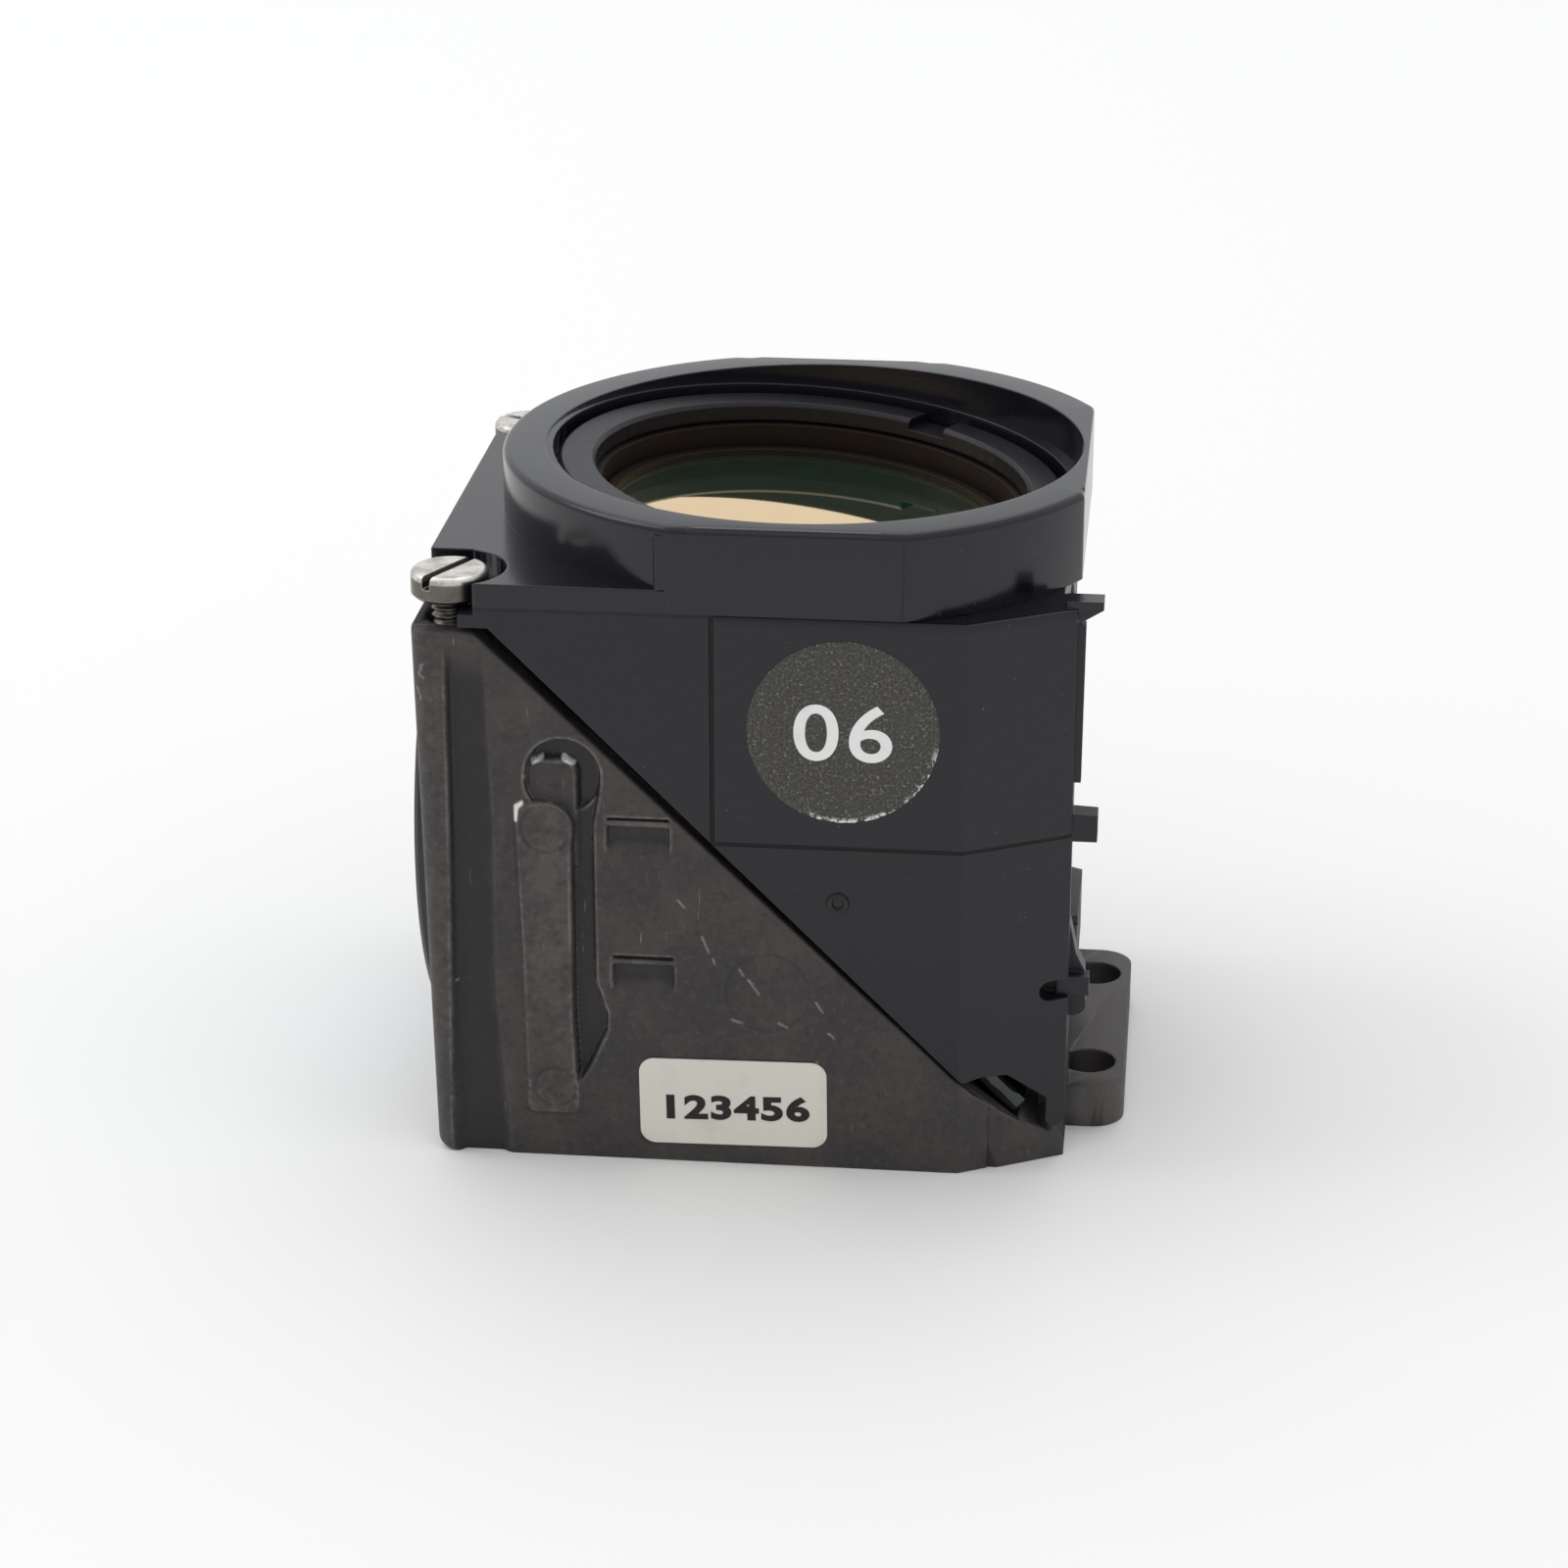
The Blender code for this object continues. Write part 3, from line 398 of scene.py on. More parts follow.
def relief_depth(x, z):
    """Millimetres behind the front plane at each point of the casting's front."""
    field = 0.2 * smooth(x, -16.1, -15.7) * (1.0 - 0.8 * smooth(z, 26.5, 28.6))
    depth = field + 0.3 * channel_mask(x, z)
    bar = bar_distance(x, z)
    edge = np.interp(z, (3.6, 5.1, 7.2, 8.1, 10.0, 17.0, 18.6, 20.4),
                     (-10.0, -9.1, -8.15, -8.1, -8.68, -8.68, -8.68, -8.32))
    valley = 1.0 - smooth(x, edge - 0.16, edge + 0.02)
    valley *= smooth(z, 3.4, 5.0) * (1.0 - smooth(z, 20.2, 20.8)) * smooth(x, -11.0, -10.6)
    depth += 0.5 * valley
    arch = to_segment(x, z, hollow_low, hollow_high, 1.98, 1.95)
    hollow = 1.0 - smooth(arch, -0.22, 0.03)
    depth = np.maximum(depth, hollow)
    pin = rounded_box(x, z, pin_middle, pin_half, pin_foot, pin_head, (0.85, 0.85, 0.3, 0.3))
    on_pin = 1.0 - smooth(pin, -0.28, 0.02)
    depth = depth * (1.0 - on_pin) + np.minimum(depth, 0.52) * on_pin
    on_bar = 1.0 - smooth(bar, -0.12, 0.06)
    depth = depth * (1.0 - on_bar) + 0.01 * on_bar
    for centre, radius in bosses:
        away = np.hypot(x - centre[0], z - centre[1])
        dish = 0.04 * (1.0 - smooth(away, 0.0, radius))
        groove = 0.10 * np.exp(-(((away - radius + 0.05) / 0.09) ** 2))
        depth += (dish + groove) * (bar < -0.04)
    for left, top, right, bottom in pockets:
        inside = smooth(x, left - 0.06, left + 0.1) * (1.0 - smooth(x, right - 0.1, right + 0.06))
        wedge = smooth(z, bottom - 0.4, top - 1.1) * (1.0 - smooth(z, top - 0.06, top + 0.04))
        lip = smooth(z, top - 0.55, top - 0.45) * (1.0 - smooth(z, top - 0.2, top - 0.12))
        depth += inside * (0.46 * wedge - 0.34 * lip)
    away = np.hypot(x - ejector_centre[0], z - ejector_centre[1])
    depth += 0.09 * np.exp(-(((away - ejector_r) / 0.1) ** 2))
    return depth + 0.03 * (1.0 - smooth(away, ejector_r - 0.13, ejector_r))


# x and z where each nick starts and ends, and the same for each painted glint on a corner
scratches = ((-4.45, 14.65, -4.1, 14.25), (-3.25, 12.7, -2.92, 11.85), (-2.7, 11.5, -2.6, 11.2),
             (-0.9, 10.4, -0.35, 9.6), (2.55, 9.3, 2.9, 8.75), (0.65, 8.05, 1.1, 7.8),
             (-1.75, 8.15, -1.2, 7.95), (-1.35, 10.95, -1.15, 10.6), (3.2, 7.6, 3.5, 7.35),
             (-17.12, 26.9, -17.3, 26.35), (-17.3, 26.35, -17.05, 26.2),
             (-17.42, 25.6, -17.22, 25.0), (-15.9, 9.66, -15.9, 9.6),
             (-12.2, 21.1, -12.15, 20.9), (2.6, 5.95, 2.68, 5.8))
glints = ((-12.58, 19.45, -12.62, 18.75), (-12.58, 19.45, -12.3, 19.68),
          (-11.75, 21.78, -11.3, 21.98), (-10.2, 21.98, -9.7, 21.72))


def relief_masks(x, z, depth):
    """Paler: where the surface stands proud of the mean around it, partly rubbed metal and partly a
    painted highlight. Sunk: painted shade where it lies below it, and in the channel, the valley
    and the hollow. Scratched: the short nicks. Glints: painted highlights on the corners of the pin
    and the bar."""
    around = np.linspace(0.0, 2.0 * np.pi, 8, endpoint=False)
    reach = 0.2
    mean = sum(relief_depth(x + reach * math.cos(a), z + reach * math.sin(a)) for a in around) / 8.0
    proud = mean - depth
    top_face = 1.0 - smooth(bar_distance(x, z), -0.1, 0.05)
    strip = 1.0 - smooth(x, -16.3, -15.95)
    channel = channel_mask(x, z)
    # Paler: a painted highlight along proud edges mixed with wear, plus the bar's face and the left
    # strip
    worn = 0.8 * smooth(proud, 0.012, 0.06) * (1.0 - channel) + 0.3 * top_face + 0.25 * strip
    # Painted shade for the hollows, the channel and the deep places
    sunk = smooth(-proud, 0.01, 0.08) * 0.7 + 0.85 * channel + 0.8 * smooth(depth, 0.42, 0.7)
    nick, painted_glint = np.zeros_like(x), np.zeros_like(x)
    for x1, z1, x2, z2 in scratches:
        away = to_segment(x, z, (x1, z1), (x2, z2), 0.03, 0.01)
        nick = np.maximum(nick, 1.0 - smooth(away, 0.0, 0.06))
    # Painted highlights on the corners of the pin and the bar
    for x1, z1, x2, z2 in glints:
        away = to_segment(x, z, (x1, z1), (x2, z2), 0.09, 0.05)
        painted_glint = np.maximum(painted_glint, 1.0 - smooth(away, -0.02, 0.08))
    worn, sunk = np.clip(worn, 0.0, 1.0), np.clip(sunk, 0.0, 1.0)
    return {"worn": worn, "sunk": sunk, "scratched": nick, "painted_glint": painted_glint}


print("relief: bosses", len(bosses), "pockets", len(pockets), "nicks", len(scratches))


# %% The relief as a closed skin
def cast_front_skin(cut, rows=350, columns=235, corner=1.0, edge=0.3):
    """Row z runs up the face, in millimetres. Each row starts on the cut, turns the left
    corner with a quarter circle, crosses the face at y = front + depth and follows the angled
    corner. The diagonal joint is where the rows end. A wall of the border's own points, and
    one face over the cut, close the skin."""
    top, foot_r = land_z / MM, 0.6
    z = np.concatenate([np.linspace(0.0, foot_r, 9)[:-1], np.linspace(foot_r, top - edge, rows),
                        top - edge + edge * np.sin(np.linspace(0.2, np.pi / 2, 6))])[:, None]
    below = np.maximum(foot_r - z, 0.0)
    foot = foot_r - np.sqrt(foot_r**2 - below**2)
    x_left = left_x / MM + foot_lean / MM * (1.0 - z / top) + foot
    x_right = np.interp(z, (0.0, 3.65, 4.35, joint_low, top),
                        (11.33, 11.33, 10.47, joint_right, -14.55))
    turn = np.linspace(0.0, np.pi / 2, 14)[None, :]
    arc_x = x_left + corner * (1.0 - np.cos(turn))
    arc_y = np.broadcast_to(corner * (1.0 - np.sin(turn)), arc_x.shape)
    share = np.linspace(0.0, 1.0, columns)[None, 1:]
    face_x = x_left + corner + (x_right - edge * 0.6 - x_left - corner) * share
    bend = edge * 0.6 * np.sin(np.linspace(0.0, np.pi / 2, 6))[None, 1:]
    end_x = x_right - edge * 0.6 + bend
    x = np.concatenate([arc_x, face_x, end_x], axis=1)
    zz = np.broadcast_to(z, x.shape)
    y = np.concatenate([arc_y, np.zeros_like(face_x), np.zeros_like(end_x)], axis=1)
    y = y + np.maximum(x - crease_x / MM, 0.0) * corner_back / corner_run
    weight = smooth(x, x_left + 0.35, x_left + 1.0)
    depth = relief_depth(x, zz)
    masks = relief_masks(x, zz, depth)
    inward = depth * weight
    round_right = np.clip((x - (x_right - edge * 0.6)) / (edge * 0.6), 0.0, 1.0)
    round_top = np.clip((zz - (top - edge)) / edge, 0.0, 1.0)
    on_joint = x_right < joint_right - 0.07
    inward = inward + edge * 0.6 * (1.0 - np.sqrt(1.0 - round_right**2)) * on_joint
    inward = inward + edge * (1.0 - np.sqrt(1.0 - round_top**2))
    y = np.minimum(front_y / MM + y + inward, cut / MM)
    points = np.stack([x, y, zz], axis=-1)
    border = np.concatenate([points[0, :-1], points[:-1, -1], points[-1, :0:-1], points[:0:-1, 0]])
    back = border.copy()
    back[:, 1] = cut / MM
    total = points.shape[0] * points.shape[1]
    side = grid_faces(2, len(border), wrap_columns=True) + total
    faces = [list(f) for f in np.concatenate([grid_faces(*points.shape[:2]), side])]
    faces.append(list(range(total + len(border), total + 2 * len(border))))
    everything = np.concatenate([points.reshape(-1, 3), border, back]) * MM
    blank = np.zeros(2 * len(border))
    masks = {mask: np.concatenate([values.ravel(), blank]) for mask, values in masks.items()}
    return everything, faces, masks


def sliced_copy(node, name, body, point, normal):
    """Merged copy of a model node without what lies beyond a plane, closed at the cut."""
    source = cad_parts[node]
    work = bmesh.new()
    work.from_mesh(source.data)
    bmesh.ops.remove_doubles(work, verts=work.verts, dist=2e-6)
    parts = work.verts[:] + work.edges[:] + work.faces[:]
    cut = bmesh.ops.bisect_plane(work, geom=parts, plane_co=point, plane_no=normal,
                                 clear_outer=True, dist=1e-7)
    rim = [e for e in cut["geom_cut"] if isinstance(e, bmesh.types.BMEdge)]
    bmesh.ops.triangle_fill(work, edges=rim, use_beauty=True, normal=normal)
    mesh = bpy.data.meshes.new(name)
    work.to_mesh(mesh)
    work.free()
    mesh.shade_smooth()
    mesh.set_sharp_from_angle(angle=math.radians(28.0))
    piece = carried(name, mesh, body)
    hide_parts(node)
    return piece


cut_y = front_y + 1.1 * MM
cast_body = sliced_copy("emission_housing", "cast_body", "die_cast_half",
                        (0.0, cut_y, 0.0), (0.0, -1.0, 0.0))
skin_points, skin_faces, skin_masks = cast_front_skin(cut_y)
cast_front = new_piece("cast_front", skin_points, skin_faces, "die_cast_half",
                       40.0, skin_masks)
wear(cast_black, cast_body, cast_front)

# %% [markdown]
# ## Black moulding
# The other half is glass-filled plastic, blue-black, satin on the flat faces and glossier on
# the wall of the filter rim. A fine grain breaks the highlights. The mould's parting lines
# are grooves a tenth of a millimetre wide, drawn by the finish: too fine to be worth meshes.

# %% Moulded finish
panel_left, panel_low = -2.6 * MM, 18.0 * MM
ear_left = -14.9 * MM
rim_crease_x = 6.75 * MM


def moulded_finish():
    """Blue-black plastic with grain, hairlines, flecks and the four parting lines."""
    made = Finish("moulded_black", Specular_IOR_Level=0.45)
    soft, edge = made.edges(0.14 * MM)
    grain = made.noise(0.16 * MM, 3.0, 0.65)
    cloud = made.noise(5.0 * MM, 3.0, 0.6)
    fleck = made.step(made.noise(0.2 * MM, 1.0, 0.4), 0.79, 0.81)
    colour = made.mix(cloud, (0.0052, 0.0055, 0.0095), (0.0080, 0.0084, 0.0135))
    hair = made.step(made.noise(0.35 * MM, 2.0, 0.5, (0.12, 1.0, 4.0)), 0.66, 0.76)
    colour = made.mix(hair * 0.3, colour, (0.035, 0.035, 0.042))
    # Paler along the edges: a painted highlight
    colour = made.mix(edge * 0.4, colour, (0.04, 0.041, 0.048))
    colour = made.mix(fleck * 0.5, colour, (0.14, 0.14, 0.14))
    x, z = made.axis("X"), made.axis("Z")
    width = 0.09 * MM
    lines = made.line(x, z, panel_left - width, panel_low - 2.0 * width, ledge_z, width)
    lines = lines + made.line(z, x, panel_low - width, panel_left, right_x, width)
    lines = lines + 0.6 * made.line(z, x, ledge_z - 0.05 * MM, ear_left, crease_x, width)
    lines = lines + 0.6 * made.line(x, z, rim_crease_x, ledge_z, rim_top - 0.3 * MM, width)
    behind = made.step(made.axis("Y"), front_y + 3.0 * MM, front_y + 3.2 * MM)
    lines = lines * (1.0 - behind)
    colour = made.mix(lines, colour, (0.0015, 0.0015, 0.002))
    made.set("Base Color", colour)
    rim = made.step(z, ledge_z - 0.2 * MM, ledge_z + 0.2 * MM)
    made.set("Roughness", 0.34 + 0.1 * cloud - 0.26 * rim + 0.06 * grain + 0.3 * lines)
    made.bump(grain - 9.0 * lines, 0.006 * MM, soft)
    return made


moulded_black = moulded_finish()
wear(moulded_black, "excitation_housing")

# %% [markdown]
# ## Sticker panel and gate mark
# A panel about a tenth of a millimetre proud carries the sticker and runs round the angled
# corner to the right face. Its outline in plan is the body's own, moved outwards by the
# height of the panel, which falls to nothing along its edges. The gate mark is the small
# turned ring that the mould's inlet leaves.


# %% Panel that follows the corner
panel_proud = 0.14 * MM


def shell_faces(count, across):
    """Faces of a front sheet of count rows followed by its back, in reverse, and both ends."""
    a = np.arange(count - 1)
    b = 2 * count - 1 - a
    end = np.stack([a, a + 1, b - 1, b], axis=-1) * across
    return np.concatenate([grid_faces(2 * count, across, wrap_rows=True), end, end + across - 1])


def front_panel(left, low, high, rows=40, columns=160, fall=0.10 * MM):
    """Point (s, z): s runs along the front to the crease and down the angled corner. The
    outward direction turns from the front's to the corner's over 0.25 mm at the crease."""
    corner_length = math.hypot(corner_run, corner_back)
    length = crease_x - left + corner_length
    s = np.concatenate([[0.0], np.linspace(fall, length - fall, columns), [length]])
    z = np.concatenate([[low], np.linspace(low + fall, high - fall * 0.5, rows), [high]])
    s, z = np.meshgrid(s, z, indexing="ij")
    past = np.maximum(s - (crease_x - left), 0.0) / corner_length
    x = np.minimum(left + s, crease_x) + past * corner_run
    y = front_y + past * corner_back
    lean = math.atan2(corner_run, corner_back)
    turned = np.clip((s - (crease_x - left)) / (0.25 * MM) + 0.5, 0.0, 1.0)
    nx, ny = turned * math.cos(lean), -(1.0 - turned) - turned * math.sin(lean)
    edge = np.minimum(np.minimum(s, length - s), np.minimum(z - low, high - z)) / fall
    proud = panel_proud * np.clip(edge, 0.0, 1.0)
    outer = np.stack([x + nx * proud, y + ny * proud, z], axis=-1)
    inner = np.stack([x - nx * 0.1 * MM, y - ny * 0.1 * MM, z], axis=-1)
    points = np.concatenate([outer, inner[::-1]])
    return points, shell_faces(*outer.shape[:2])


panel_points, panel_faces = front_panel(panel_left, panel_low, ledge_z)
panel = new_piece("sticker_panel", panel_points, panel_faces, "moulded_half", 20.0)
wear(moulded_black, panel)


# %% Gate mark
def gate_finish():
    """Mark left by the moulding gate: darker, with the torn grain of snapped plastic."""
    made = Finish("gate_black")
    torn = made.noise(0.08 * MM, 3.0, 0.7)
    made.set("Base Color", made.mix(torn, (0.0008, 0.0008, 0.001), (0.002, 0.002, 0.0024)))
    made.set("Roughness", 0.3 + 0.15 * torn)
    return made.bump(torn, 0.004 * MM)


gate_x, gate_z = 3.65 * MM, 14.95 * MM
gate_profile = [(0.24, 0.02), (0.30, -0.09), (0.42, -0.13), (0.54, -0.09), (0.60, 0.02)]
gate_points, gate_faces = lathe(np.array(gate_profile) * MM, 40)
gate_points = np.stack([gate_x + gate_points[..., 0], front_y + gate_points[..., 2],
                        gate_z + gate_points[..., 1]], axis=-1)
gate = new_piece("gate_mark", gate_points, gate_faces, "moulded_half")
wear(gate_finish(), gate)

# %% [markdown]
# ## Skin of the filter rim
# The rim is a turned ring whose front, back and right are cut by the body's flats. The
# model's facets would show as bands in its gloss, so a fine skin 0.03 mm proud covers it:
# one closed loop of rows that climbs the wall, rounds the edge, crosses the top and goes down
# the bore, which leans with the filter. A second piece squares off the end of the front flat.


# %% Skin and the end of its flat
rim_radius = 16.1 * MM
left_ledge_end = -4.86 * MM


def rim_end(left, right, low, top, rows=24, columns=12, edge=0.14 * MM):
    """Front plane before, the rim's circle behind, with a rounded left edge,
    y = front + e (1 - sqrt(1 - t^2)). It sinks into the body at a slope of 1 in 2 once it
    is past the end of the left ledge."""
    x = np.linspace(left, right, columns)
    z = np.linspace(low, top, rows)
    x, z = np.meshgrid(x, z, indexing="ij")
    t = np.clip((left + edge - x) / edge, 0.0, 1.0)
    sink = 0.5 * np.maximum(x + 4.9 * MM, 0.0)
    front = front_y + edge * (1.0 - np.sqrt(1.0 - t**2)) + sink
    behind = -np.sqrt((rim_radius - 0.25 * MM) ** 2 - (x - axis_x) ** 2)
    outer = np.stack([x, front, z], axis=-1)
    inner = np.stack([x, behind, z], axis=-1)
    return np.concatenate([outer, inner[::-1]]), shell_faces(columns, rows)


end_points, end_faces = rim_end(-5.5 * MM, -4.4 * MM, rim_top - 3.3 * MM, rim_top - 0.45 * MM)
rim_flat = new_piece("rim_flat_end", end_points, end_faces, "moulded_half")


def rim_surface(sides=720, proud=0.03 * MM, edge=0.38 * MM):
    """Outline r(a) = min(R, flat_x / cos a, flat_y / |sin a|): a circle clipped by the body's
    flats. It rises to a quarter-round edge, crosses the top and goes down the leaning bore."""
    bore, bore_depth = 13.87 * MM, 1.2 * MM
    a = np.linspace(0.0, 2.0 * np.pi, sides, endpoint=False)
    c, s = np.cos(a), np.sin(a)
    flat_x = (right_x - axis_x + proud) / np.maximum(c, 1e-3)
    flat_y = (proud - front_y) / np.maximum(np.abs(s), 1e-3)
    outline = np.minimum(np.minimum(rim_radius + proud, flat_x), flat_y)
    foot = np.where(axis_x + outline * c > left_ledge_end, ledge_z, left_ledge_z)
    top = rim_top + 0.6 * proud

    def wall_row(inset, z):
        """Points on the outline, moved inwards by the inset, at height z."""
        reach = outline - inset
        return np.stack([axis_x + reach * c, reach * s, np.broadcast_to(z, sides)], axis=-1)

    def bore_row(radius, height):
        """A circle about the leaning axis of the filter."""
        x, y, z = radius * c, radius * s, np.broadcast_to(height, sides)
        return placed(np.stack([x, y, z], axis=-1), (axis_x, 0.0, rim_top), tilt)

    rows = [wall_row(0.0, foot), wall_row(0.0, top - edge)]
    for turn in np.linspace(0.0, np.pi / 2, 7)[1:]:
        rows.append(wall_row(edge * (1.0 - math.cos(turn)), top - edge + edge * math.sin(turn)))
    level = bore * c * math.tan(tilt) + (top - rim_top)
    for radius, height in ((bore, level), (bore, -bore_depth),
                           (bore + 0.5 * MM, -bore_depth - 0.2 * MM)):
        rows.append(bore_row(radius, height))
    rows.append(wall_row(0.4 * MM, foot))
    return np.stack(rows), grid_faces(len(rows), sides, wrap_rows=True, wrap_columns=True)


rim_points, rim_faces = rim_surface()
rim_skin = new_piece("filter_rim", rim_points, rim_faces, "moulded_half")
wear(moulded_black, rim_flat, rim_skin)

# %% [markdown]
# ## Rings, mounts and glass
# The retaining rings are turned and anodised, so their faces carry very fine rings about
# the axis. The glass is an interference filter: it mirrors part of the spectrum, which shows
# as a peach reflection of the bright surround, and stays deep green where it faces dark
# walls. A very high refractive index with a tinted reflection gives such a mirror over a
# dark body; a metal would tint the dark part as well.

# %% Anodised, glass and small finishes
def turned_finish(name, colour, centre, lean, roughness, shine=0.5):
    """Fine turning lines: noise of the distance from the axis, as a small bump."""
    made = Finish(name, Specular_IOR_Level=shine)
    turn = {"Vector": made.place, "Location": centre, "Rotation": (0.0, lean, 0.0)}
    local = made.node("Mapping", {"vector_type": "TEXTURE"}, turn)
    x = made.node("SeparateXYZ", {}, {"Vector": local}, "X")
    y = made.node("SeparateXYZ", {}, {"Vector": local}, "Y")
    radius = (x * x + y * y) ** 0.5
    values = {"W": radius, "Scale": 9000.0, "Detail": 1.0}
    lines = made.node("TexNoise", {"noise_dimensions": "1D"}, values)
    dust = made.noise(0.5 * MM, 4.0, 0.7)
    soft, edge = made.edges(0.12 * MM)
    pale = [min(1.0, 3.5 * c) for c in colour]
    # Paler along the edges, a painted highlight, and paler with dust
    made.set("Base Color", made.mix(edge * 0.7 + 0.12 * dust, colour, pale))
    made.set("Roughness", roughness + 0.12 * dust)
    made.bump(lines, 0.006 * MM, soft)
    return made


def glass_finish(name, mirror, depth, index):
    """A coated pane: a high refractive index mirrors in the coating's tint, and what passes
    the coating meets a dark body."""
    made = Finish(name, IOR=index, Specular_Tint=mirror)
    smear = made.noise(3.0 * MM, 3.0, 0.6)
    lighter = [1.6 * c for c in depth]
    made.set("Base Color", made.mix(made.step(smear, 0.3, 0.8), depth, lighter))
    made.set("Roughness", 0.015 + 0.02 * smear)
    return made


rim_centre = (axis_x, 0.0, rim_top)
ring_black = turned_finish("ring_anodised", (0.0065, 0.0065, 0.009), rim_centre, tilt, 0.3, 0.3)
wear(ring_black, "excitation_retaining_ring")
mount_black = turned_finish("mount_anodised", (0.012, 0.0085, 0.007), rim_centre, tilt, 0.42, 0.12)
wear(mount_black, "excitation_filter_mount", "excitation_glass_spacer")
side_low, side_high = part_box("emission_retaining_ring")
side_centre = (0.0, 0.0, (side_low.z + side_high.z) / 2.0)
side_ring = turned_finish("side_ring_anodised", (0.024, 0.024, 0.027), side_centre,
                          math.pi / 2, 0.38)
wear(side_ring, "emission_retaining_ring", "emission_filter_mount", "emission_glass_spacer")
peach, deep_green = (1.0, 0.76, 0.50), (0.008, 0.085, 0.062)
excitation_glass = glass_finish("excitation_coating", peach, deep_green, 30.0)
pane_r, pane_thickness, pane_bevel = 10.75 * MM, 0.45 * MM, 0.08 * MM
for name, top in (("excitation_coated_pane", -4.2 * MM), ("excitation_rear_pane", -4.72 * MM)):
    low = top - pane_thickness
    profile = [(0.0, top), (pane_r * 0.5, top), (pane_r - pane_bevel, top),
               (pane_r, top - pane_bevel), (pane_r, low + pane_bevel),
               (pane_r - pane_bevel, low), (0.0, low)]
    points, faces = lathe(profile)
    points = placed(points, rim_centre, tilt)
    pane = new_piece(name, points, faces, "excitation_filter")
    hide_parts(name.replace("pane", "glass"))
    wear(excitation_glass, pane)
emission_glass = glass_finish("emission_coating", (0.55, 0.8, 1.0), (0.02, 0.03, 0.06), 5.0)
wear(emission_glass, "emission_coated_glass", "emission_rear_glass")
plate_glass = glass_finish("beamsplitter_coating", (0.9, 1.0, 0.95), (0.008, 0.009, 0.009), 1.7)
wear(plate_glass, "beamsplitter_plate")


def insert_finish():
    """Dead matt absorber: almost black, with a flocked grain."""
    made = Finish("matt_insert", Roughness=0.95, Specular_IOR_Level=0.1)
    fibre = made.noise(0.12 * MM, 3.0, 0.8)
    made.set("Base Color", made.mix(fibre, (0.006, 0.006, 0.006), (0.02, 0.02, 0.019)))
    return made.bump(fibre, 0.03 * MM)


def spring_finish():
    """Rolled strip: bright steel with lines along its length."""
    made = Finish("spring_strip", Metallic=1.0)
    lines = made.noise(0.4 * MM, 3.0, 0.6, (1.0, 9.0, 1.0))
    made.set("Base Color", made.mix(lines, (0.42, 0.41, 0.38), (0.6, 0.59, 0.56)))
    made.set("Roughness", 0.24 + 0.2 * lines)
    return made


wear(insert_finish(), "light_trap_insert")
wear(spring_finish(), "beamsplitter_spring_front", "beamsplitter_spring_rear")


# %% [markdown]
# ## Clamp screws
# Two M2 cheese-head screws in nickel-plated steel. The head is a disc of rows across the
# driver slot: the rows inside the slot simply lie deeper, so its walls are upright and its
# ends open. The shank is a cylinder whose radius follows the thread's triangle wave.

# %% Nickel finish
screw_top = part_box("clamp_screw_front")[1].z


def nickel_finish():
    """Plated steel, dulled in patches, bright on its edges, with painted shade down the head's side
    and the shank.
    """
    made = Finish("nickel_plate", Metallic=1.0)
    soft, edge = made.edges(0.08 * MM)
    cloud = made.noise(0.7 * MM, 4.0, 0.65)
    lines = made.noise(0.35 * MM, 3.0, 0.6, (1.0, 1.0, 7.0))
    dulled_and_side_shade = made.mix(made.step(cloud, 0.35, 0.7), (0.78, 0.75, 0.71), (0.44, 0.41, 0.37))
    # Painted shade: everything below the head's top rim goes dark
    side = 1.0 - made.step(made.axis("Z"), screw_top - 0.42 * MM, screw_top - 0.2 * MM)
    dulled_and_side_shade = made.mix(side * 0.9, dulled_and_side_shade, (0.085, 0.074, 0.063))
    made.set("Base Color", made.mix(edge * 0.6, dulled_and_side_shade, (0.72, 0.70, 0.66)))
    made.set("Roughness", 0.20 + 0.22 * cloud + 0.08 * lines)
    return made.bump(lines + cloud, 0.006 * MM, soft)


nickel = nickel_finish()
print(nickel.material.name, "head top", round(screw_top / MM, 2), "mm")


# %% Screw surfaces
def screw_head(radius, low, top, slot_w, slot_d, turn, rows=56, columns=40, edge=0.28 * MM):
    """Rows at height v across the slot, u = cos(pi j / n) sqrt(R^2 - v^2) along it. The
    slot's first and last rows are doubled, one at the top and one at the floor."""
    half = slot_w / 2.0
    outer = np.sin(np.linspace(-np.pi / 2, np.pi / 2, rows)) * radius
    v = np.concatenate([outer[outer < -half], [-half, -half, half, half], outer[outer > half]])
    sunk = np.abs(v) <= half
    first = int(np.argmax(sunk))
    depth = np.where(sunk, slot_d, 0.0)
    depth[first] = 0.0
    depth[first + 3] = 0.0
    reach = np.sqrt(np.maximum(radius**2 - v**2, 0.0))[:, None]
    u = np.cos(np.linspace(0.0, np.pi, columns)) * reach
    v_grid = np.broadcast_to(v[:, None], u.shape)
    rim_share = np.clip((np.hypot(u, v_grid) - (radius - edge)) / edge, 0.0, 1.0)
    z = top - edge * (1.0 - np.sqrt(1.0 - rim_share**2))
    z = z - depth[:, None] * (1.0 - 0.35 * rim_share**4)
    c, s = math.cos(turn), math.sin(turn)
    top_points = np.stack([u * c - v_grid * s, u * s + v_grid * c, z], axis=-1)
    rim = np.concatenate([top_points[:, 0], top_points[::-1, -1]])
    foot, inner = rim.copy(), rim.copy()
    foot[:, 2] = low + 0.2 * MM
    inner[:, 2] = low
    inner[:, :2] *= 1.0 - 0.2 * MM / radius
    centre = inner.copy()
    centre[:, :2] = 0.0
    wall = np.stack([rim, foot, inner, centre])
    faces = grid_faces(*top_points.shape[:2])
    wall_faces = grid_faces(4, len(rim), wrap_columns=True) + top_points.shape[0] * columns
    points = np.concatenate([top_points.reshape(-1, 3), wall.reshape(-1, 3)])
    return points, np.concatenate([faces, wall_faces])


